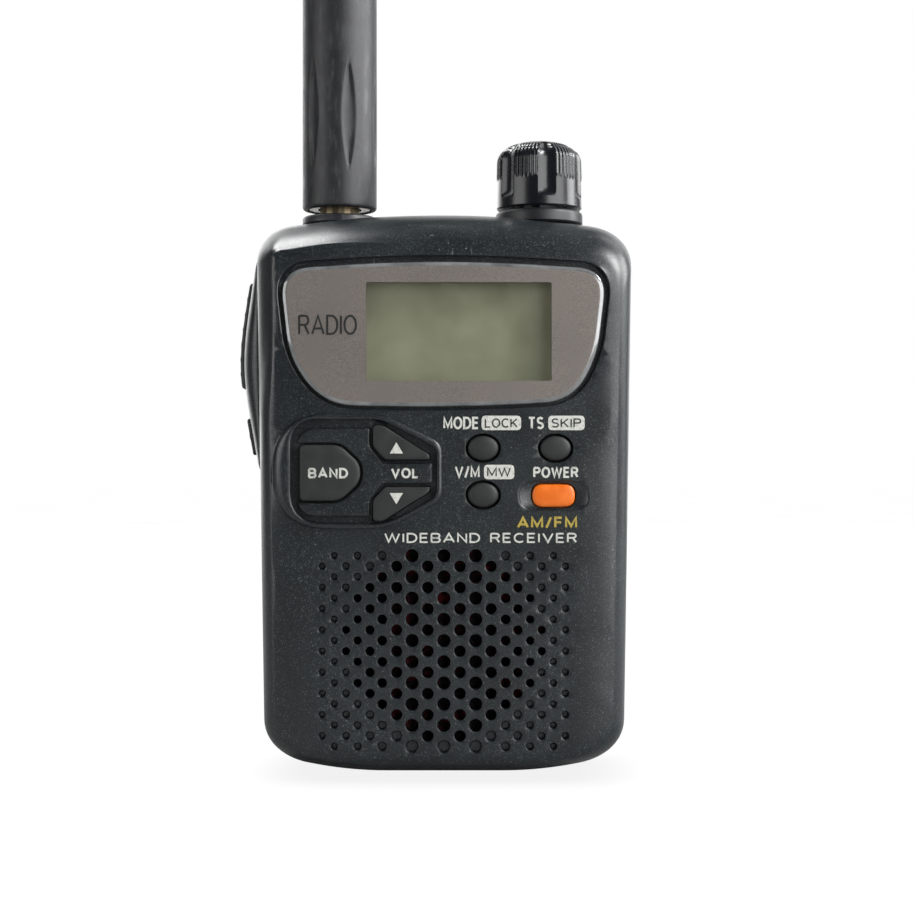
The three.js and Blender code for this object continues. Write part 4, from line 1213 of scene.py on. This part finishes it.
def antenna_sleeve():
    """The whip's rubber sleeve, with six lens-shaped grip flats near its foot and a hollow for its core."""
    x, _, radius, foot, tip = round_box("antenna_sleeve")
    tip_radius = 4.5
    taper_from = foot + 37
    grip_low, grip_high = foot + 6.25, foot + 21.85
    flats = 6
    first = math.radians(-72)
    angles = turn(192)
    dome_foot = tip - tip_radius

    def base(z):
        if z < foot + 0.5:
            return radius - 0.5 + math.sqrt(max(0.0, 0.25 - (foot + 0.5 - z) ** 2))
        if z < taper_from:
            return radius
        r = radius + (tip_radius - radius) * min((z - taper_from) / (tip - 8 - taper_from), 1)
        if z > dome_foot:
            r *= math.sqrt(max(0.0, 1 - ((z - dome_foot) / tip_radius) ** 2))
        return r

    def surface(z):
        share = (z - grip_low) / (grip_high - grip_low)
        if not 0 < share < 1:
            return base(z)
        half = 1.12 * math.sin(math.pi * share) ** 0.75
        across = from_nearest(angles, first, flats) * radius
        return base(z) - 0.3 * np.clip(1 - (across / half) ** 2, 0, 1) ** 0.8

    levels = [foot + rise for rise in (0, 0.06, 0.16, 0.3, 0.5)]
    levels += [*np.linspace(foot + 1.2, grip_low, 6)[:-1], *np.linspace(grip_low, grip_high, 44)]
    levels += [*np.linspace(grip_high + 1.5, taper_from, 6), *np.linspace(taper_from + 6, dome_foot, 18)]
    levels += [*(dome_foot + tip_radius * np.sin(np.linspace(0.15, 1.5, 12)))]
    bore = ((2.9, tip - 13), (2.9, foot + 6.9), (5.0, foot + 6.7), (5.0, foot))
    skin = Skin()
    rings = [skin.ring(x, 0, r, z, len(angles)) for r, z in bore]
    rings += [skin.ring(x, 0, surface(z), z, len(angles)) for z in levels]
    skin.barrel(rings, (0, 0, 0.02))
    skin.finish("visual_antenna_sleeve", "antenna", "black_rubber", ["antenna_sleeve"], 40)


# ---- Side controls ----


def bulge_x(z):
    """The outermost edge of the swelling on the left side at a height."""
    foot, middle, head = -28.45, -33.1, -29.0
    share = (z - PANEL_LOW[2]) / (PANEL_HIGH[2] - PANEL_LOW[2])
    t = np.clip(share - 0.05 * np.sin(FULL_TURN * share), 0, 1)
    return foot * (1 - t) ** 2 + 2 * middle * t * (1 - t) + head * t * t


def end_swell(z, low, high, reach):
    """Nought at either end of a height range, rising round to one within a reach."""
    ends = min((z - low) / reach, (high - z) / reach, 1.0)
    return math.sqrt(max(0.0, ends * (2 - ends)))


def across_to(half, count):
    """Places across a width, closer together near its edges."""
    return np.sin(np.linspace(-math.pi / 2, math.pi / 2, count)) * half


def side_section(skin, x, across, inner_x, z):
    """A level ring: points across the outside, then the two inner corners."""
    half = across[-1]
    outer = np.stack((x, across, np.full(len(across), z)), 1)
    return skin.add([*outer, (inner_x, half, z), (inner_x, -half, z)])


def side_panel():
    """The body-coloured swelling that carries the two side buttons."""
    across = across_to(PANEL_HIGH[1] + 0.25, 31)
    low, high = PANEL_LOW[2], PANEL_HIGH[2] + 0.2
    shape = (1 - np.abs(across / across[-1]) ** 3.2) ** 0.6
    skin = Skin()
    rings = []
    for t in np.linspace(0, 1, 45):
        z = low + (high - low) * (0.5 - 0.5 * math.cos(math.pi * t))
        root = -half_width(z) + 0.45
        x = root + (bulge_x(z) - root) * shape * end_swell(z, low, high, 1.2)
        rings.append(side_section(skin, x, across, root + 0.8, z))
    skin.barrel(rings)
    panel = skin.finish("visual_side_panel", "root", "case_plastic", ["side_key_panel"], 40)
    windows = []
    for node in ("function_button", "monitor_button"):
        low, high = node_box(node)
        side = high[1] + 0.22
        windows.append(prism(rounded_box(-side, side, low[2] - 0.22, high[2] + 0.22, 0.7, 4, 3), -29.3, -36))
    carve(panel, windows)
    smooth_mesh(panel.data, 35)


def side_button(node, ridges, levels):
    """A long rubber button with rounded edges and raised ridges across it."""
    low, high = node_box(node)
    across = across_to(high[1], 17)
    shape = (1 - np.abs(across / across[-1]) ** 6) ** 0.5
    root = -28.9
    skin = Skin()
    rings = []
    for t in np.linspace(0, 1, levels):
        z = low[2] + (high[2] - low[2]) * t
        swell = end_swell(z, low[2], high[2], 0.7)
        wave = 0.06 * max(0.0, math.cos(FULL_TURN * ridges * t)) ** 2 * swell
        x = root + (bulge_x(z) - 0.62 - wave - root) * (0.75 + 0.25 * shape * swell)
        rings.append(side_section(skin, x, across, root, z))
    skin.barrel(rings)
    skin.finish("visual_" + node, node, "black_rubber", [node], 40)


# ---- The back, its cover and the sockets' cover ----


def softened(node, body, slot, width, move=None):
    """A copy of a CAD node with its sharp edges eased, shown in the node's place."""
    source = frame["nodes"][node]
    corners = [source.matrix_world @ v.co for v in source.data.vertices]
    if move:
        corners = [move(c / MM) * MM for c in corners]
    obj = new_object("visual_" + node, corners, [tuple(p.vertices) for p in source.data.polygons], 1)
    work = bmesh.new()
    work.from_mesh(obj.data)
    bmesh.ops.remove_doubles(work, verts=work.verts, dist=0.004 * MM)
    flat = math.radians(1.5)
    bmesh.ops.dissolve_limit(work, angle_limit=flat, verts=work.verts, edges=work.edges)
    work.to_mesh(obj.data)
    work.free()
    bevel = obj.modifiers.new("ease", "BEVEL")
    bevel.width = width * MM
    bevel.segments = 2
    bevel.limit_method = "ANGLE"
    bevel.angle_limit = math.radians(38)
    apply_modifiers(obj)
    obj.data.materials.clear()
    obj.data.materials.append(SLOTS[slot])
    clean(obj.data)
    shade(obj, 34)
    settle(obj, body, slot, [node])


def follow_taper(point):
    """Brings the sockets' cover in where the case narrows towards its front."""
    behind = min(max(point.y - FRONT_Y, 0) / TAPER_DEPTH, 1)
    slip = 1.2 * (1 - behind) + 0.12 if point.x > 28.1 else 0
    return Vector((point.x - slip, point.y, point.z))


def cover_ribs():
    """Grip ribs across the battery cover, below its latch."""
    back = node_box("battery_cover")[1][1]
    skin = Skin()
    for number in range(7):
        z = 49.5 + 1.25 * number
        side = 8.5 - 0.5 * abs(number - 3)
        outline = rounded_box(-side, side, z - 0.3, z + 0.3, 0.25, 4)
        loops = skin.steps(outline, back, ((0, -0.3), (0, 0.22), (-0.12, 0.34)))
        skin.fill(loops[0], [], back - 0.3)
        skin.fill(loops[-1], [], back + 0.34)
    skin.finish("visual_cover_ribs", "battery_cover", "case_plastic", (), 40)


# ---- Lettering ----


def arc(x, z, wide, tall, start, end, steps=9):
    """Points on part of an ellipse, between two angles in degrees."""
    angles = np.radians(np.linspace(start, end, steps))
    return [*zip(x + wide * np.cos(angles), z + tall * np.sin(angles))]


# Capital letters as pen strokes: a width, and paths that are one unit high. A path may end where it starts.
STEM = [(0, 0), (0, 1)]
BOWL = [(0, 0.5), *arc(0.42, 0.75, 0.24, 0.25, -90, 90), (0, 1)]
LETTERS = {
    "A": (0.84, [[(0, 0), (0.42, 1), (0.84, 0)], [(0.15, 0.3), (0.69, 0.3)]]),
    "B": (0.68, [STEM, BOWL, [(0, 0.5), *arc(0.42, 0.25, 0.27, 0.25, 90, -90), (0, 0)]]),
    "C": (0.76, [arc(0.42, 0.5, 0.42, 0.5, 48, 312, 19)]),
    "D": (0.74, [[*STEM, *arc(0.3, 0.5, 0.44, 0.5, 90, -90, 13), (0, 0)]]),
    "E": (0.58, [[(0.58, 1), (0, 1), (0, 0), (0.58, 0)], [(0, 0.52), (0.52, 0.52)]]),
    "F": (0.56, [[(0.56, 1), (0, 1), (0, 0)], [(0, 0.52), (0.5, 0.52)]]),
    "I": (0.02, [[(0.01, 0), (0.01, 1)]]),
    "K": (0.7, [STEM, [(0.66, 1), (0.02, 0.38)], [(0.24, 0.58), (0.7, 0)]]),
    "L": (0.54, [[(0, 1), (0, 0), (0.54, 0)]]),
    "M": (0.86, [[*STEM, (0.43, 0.12), (0.86, 1), (0.86, 0)]]),
    "N": (0.68, [[*STEM, (0.68, 0), (0.68, 1)]]),
    "O": (0.84, [arc(0.42, 0.5, 0.42, 0.5, 90, 450, 25)]),
    "P": (0.66, [STEM, BOWL]),
    "R": (0.7, [STEM, BOWL, [(0.4, 0.5), (0.68, 0)]]),
    "S": (0.64, [arc(0.32, 0.75, 0.3, 0.25, 30, 270) + arc(0.32, 0.25, 0.32, 0.25, 90, -150)[1:]]),
    "T": (0.7, [[(0, 1), (0.7, 1)], [(0.35, 0.95), (0.35, 0)]]),
    "V": (0.8, [[(0, 1), (0.4, 0), (0.8, 1)]]),
    "W": (1.16, [[(0, 1), (0.29, 0.02), (0.58, 0.95), (0.87, 0.02), (1.16, 1)]]),
    "/": (0.4, [[(0, -0.05), (0.4, 1.05)]]),
    " ": (0.3, []),
}
LETTER_GAP = 0.13
INK_DEPTH = 0.05


def ribbon(skin, path, pen, y):
    """A flat closed strip of one width along a path of (x, z) points."""
    path = np.array(path)
    closed = np.allclose(path[0], path[-1])
    if closed:
        path = path[:-1]
    ahead = np.roll(path, -1, 0) - path
    behind = path - np.roll(path, 1, 0)
    if not closed:
        ahead[-1] = behind[-1]
        behind[0] = ahead[0]
    ahead /= np.linalg.norm(ahead, axis=1)[:, None]
    behind /= np.linalg.norm(behind, axis=1)[:, None]
    normal = np.stack((-ahead[:, 1] - behind[:, 1], ahead[:, 0] + behind[:, 0]), 1)
    normal /= np.maximum(np.linalg.norm(normal, axis=1)[:, None], 1e-6)
    share = np.maximum(normal[:, 1] * ahead[:, 0] - normal[:, 0] * ahead[:, 1], 0.5)
    aside = normal * (pen / 2 / share)[:, None]
    deep = sunk(y, INK_DEPTH)
    sides = ((1, y), (-1, y), (-1, deep), (1, deep))
    rings = [skin.loop(path + aside * side, depth) for side, depth in sides]
    for a, b in zip(rings, rings[1:] + rings[:1]):
        skin.bridge(a, b, 0, closed)
    if not closed:
        for end in (0, -1):
            skin.face([ring[end] for ring in rings])


def words(text, x0, x1, z0, z1, y, name, pen, body="root", colour=LIGHT_INK):
    """Raised generic capitals that fill a box on a surface facing -Y."""
    skin = Skin()
    tall = z1 - z0 - pen
    gap = LETTER_GAP + pen / tall
    widths = [LETTERS[letter][0] for letter in text]
    scale = (x1 - x0 - pen) / (sum(widths) + gap * (len(text) - 1))
    x = x0 + pen / 2
    for letter, width in zip(text, widths):
        for path in LETTERS[letter][1]:
            ribbon(skin, [(x + u * scale, z0 + pen / 2 + v * tall) for u, v in path], pen, y)
        x += (width + gap) * scale
    skin.finish("legend_" + name, body, "white_plastic", (), 30, [colour], False)


def pill(text, x0, x1, z0, z1, y, name):
    """A light pill with dark letters on it."""
    skin = Skin()
    outline = rounded_box(x0, x1, z0, z1, (z1 - z0) * 0.3, 8)
    top, foot = sunk(y, -0.03), sunk(y, 0.03)
    loops = skin.steps(outline, top, ((0, 0.06), (-0.04, 0)))
    skin.fill(loops[1], [], top, 0.8)
    skin.fill(loops[0], [], foot, 0.8)
    skin.finish(f"legend_{name}_pill", "root", "white_plastic", materials=[LIGHT_INK])
    edge = (z1 - z0) * 0.18
    words(text, x0 + 0.5, x1 - 0.5, z0 + edge, z1 - edge, sunk(top, -0.04), name, 0.19, colour=DARK_INK)


def arrow(x, z, way, y, name, body):
    """A small triangle that points up when way is 1 and down when it is -1."""
    foot, tip = z - 0.85 * way, z + 0.85 * way
    outline = rounded([(x - 1, foot, 0.1), (x + 1, foot, 0.1), (x, tip, 0.1)], 2)
    skin = Skin()
    skin.barrel([skin.loop(outline, sunk(y, 0.04)), skin.loop(offset(outline, -0.03), y)])
    skin.finish("legend_" + name, body, "white_plastic", materials=[LIGHT_INK])


def lettering():
    face = sunk(face_y, INK_LIFT)
    words("MODE", -0.1, 5.2, 52.5, 54.35, face, "mode", 0.32)
    pill("LOCK", 5.55, 11.4, 52.35, 54.5, face, "lock")
    words("TS", 12.4, 14.8, 52.5, 54.35, face, "step", 0.32)
    pill("SKIP", 15.4, 20.8, 52.35, 54.5, face, "skip")
    words("V/M", 1.6, 5.3, 45.3, 47.1, face, "memory", 0.3)
    pill("MW", 5.9, 10.4, 45.1, 47.25, face, "write")
    words("POWER", 13.2, 19.9, 45.3, 46.95, face, "power", 0.31)
    words("AM/FM", 10.8, 19.7, 37.85, 39.6, face, "bands", 0.34, colour=GOLD_INK)
    words("WIDEBAND RECEIVER", -8.8, 19.7, 35.7, 37.2, face, "kind", 0.25)
    band, up, down = (sunk(key_top(node, 0.12), INK_LIFT) for node in POD_KEYS)
    words("BAND", -20.0, -14.1, 45.25, 46.8, band, "band", 0.32, "band_key")
    words("VOL", -7.8, -3.7, 45.25, 46.8, sunk(plate_y, INK_LIFT), "volume", 0.32)
    arrow(-7.0, 49.75, 1, up, "up", "volume_up_key")
    arrow(-7.0, 42.25, -1, down, "down", "volume_down_key")
    words("RADIO", -21.5, -12.8, 66.4, 69.4, sunk(lens_y, INK_LIFT), "radio", 0.32, colour=DARK_INK)


def dress_nodes():
    """Gives every CAD node the material of its slot in the record."""
    slots = {part["node"]: part["material_slot"] for part in frame["record"]["subparts"]}
    for name, obj in frame["nodes"].items():
        obj.data.materials.clear()
        obj.data.materials.append(SLOTS[slots[name]])


# ---- Room: floor, light and camera ----


def room():
    """A plain white floor with a faint painted contact shadow near the object. It looks bright, but throws
    little light back onto the object.
    """
    bpy.ops.mesh.primitive_plane_add(size=6, location=(0, 0, 0))
    floor = bpy.context.object
    floor.name = "floor"
    m = Material("floor_white_painted_shadow", 0.9, specular=0.1)
    m.set("Base Color", (0, 0, 0, 1))
    # Painted contact shadow: ambient occlusion dims the floor's glow close to the object.
    near = m.node("ShaderNodeAmbientOcclusion", Distance=7 * MM).outputs["AO"]
    m.link(m.ramp(near, 0.2, 1.0, 0.88, 1.0), m.shader.inputs["Emission Strength"])
    m.link(m.blotches(m.noise(60), (253, 253, 253), (255, 255, 255), 0.3), m.shader.inputs["Emission Color"])
    matt = m.node("ShaderNodeBsdfDiffuse", Color=(0.3, 0.3, 0.3, 1))
    m.end_in(m.ray("Is Camera Ray"), matt.outputs["BSDF"], m.shader.outputs["BSDF"])
    floor.data.materials.append(m.material)


def world_light():
    """A white room that looks bright but lights the object only faintly."""
    world = bpy.data.worlds.new("room_light")
    bpy.context.scene.world = world
    world.use_nodes = True
    tree = Nodes(world.node_tree, "World Output")
    faint, seen = (
        tree.node("ShaderNodeBackground", Color=(1, 1, 1, 1), Strength=strength).outputs["Background"]
        for strength in (0.07, 1.0)
    )
    tree.end_in(tree.ray("Is Camera Ray"), faint, seen)


def soft_light(name, azimuth, elevation, distance, width, height, power, aim=(0, 0, 0.06)):
    """A rectangular light at an azimuth, where 0 is the camera's side and 90 is to its right."""
    data = bpy.data.lights.new(name, "AREA")
    data.shape = "RECTANGLE"
    data.size = width
    data.size_y = height
    data.energy = power
    light = link(name, data)
    a, e = math.radians(azimuth), math.radians(elevation)
    way = Vector((math.sin(a) * math.cos(e), -math.cos(a) * math.cos(e), math.sin(e)))
    light.location = Vector(aim) + way * distance
    light.rotation_mode = "QUATERNION"
    light.rotation_quaternion = way.to_track_quat("Z", "Y")


def lights():
    soft_light("right_front", 45, 4, 0.7, 0.6, 0.55, 5.4)
    soft_light("right_side", 94, 24, 0.7, 0.3, 0.4, 4.0)
    soft_light("right_edge", 112, 8, 0.8, 0.3, 0.8, 1.4)
    soft_light("right_high", 64, 38, 0.55, 0.1, 0.2, 2.8, (0.01, 0, 0.07))
    soft_light("left_front", -58, 4, 0.8, 0.5, 0.6, 3.0)
    soft_light("left_back", -148, 18, 0.8, 0.6, 0.7, 2.0)
    soft_light("left_top", -125, 66, 0.6, 0.22, 0.22, 3.2, (-0.02, 0, 0.08))
    soft_light("right_top", 125, 48, 0.8, 0.4, 0.4, 1.0)
    soft_light("back_panel", 180, 15, 0.9, 1.4, 0.8, 5.0)


def camera():
    data = bpy.data.cameras.new("photo_camera")
    data.sensor_width = 36
    data.lens = 67.2
    data.clip_start = 0.01
    data.clip_end = 20
    made = link("photo_camera", data)
    made.location = (0.00194, -0.2655, 0.0484)
    made.rotation_euler = (math.pi / 2, 0, 0)
    bpy.context.scene.camera = made


dress_nodes()
front_case()
softened("rear_case", "root", "case_plastic", 0.22)
softened("battery_cover", "battery_cover", "case_plastic", 0.2)
softened("cover_latch", "cover_latch", "case_plastic", 0.12)
softened("jack_cover", "jack_cover", "black_rubber", 0.14, follow_taper)
cover_ribs()
display_lens()
lcd()
key_plate()
keys()
dial_knob()
antenna_sleeve()
washer("dial_collar", "gloss_black", [COLLAR], 4.7, 0.25, COLLAR_RIM, 0.3)
washer("antenna_seal", "black_rubber", None, 3.5, 0.2, SEAL_RIM, 0.2)
side_panel()
side_button("function_button", 7, 60)
side_button("monitor_button", 2, 34)
lettering()
room()
world_light()
lights()
camera()
bpy.context.scene.view_settings.view_transform = "Standard"
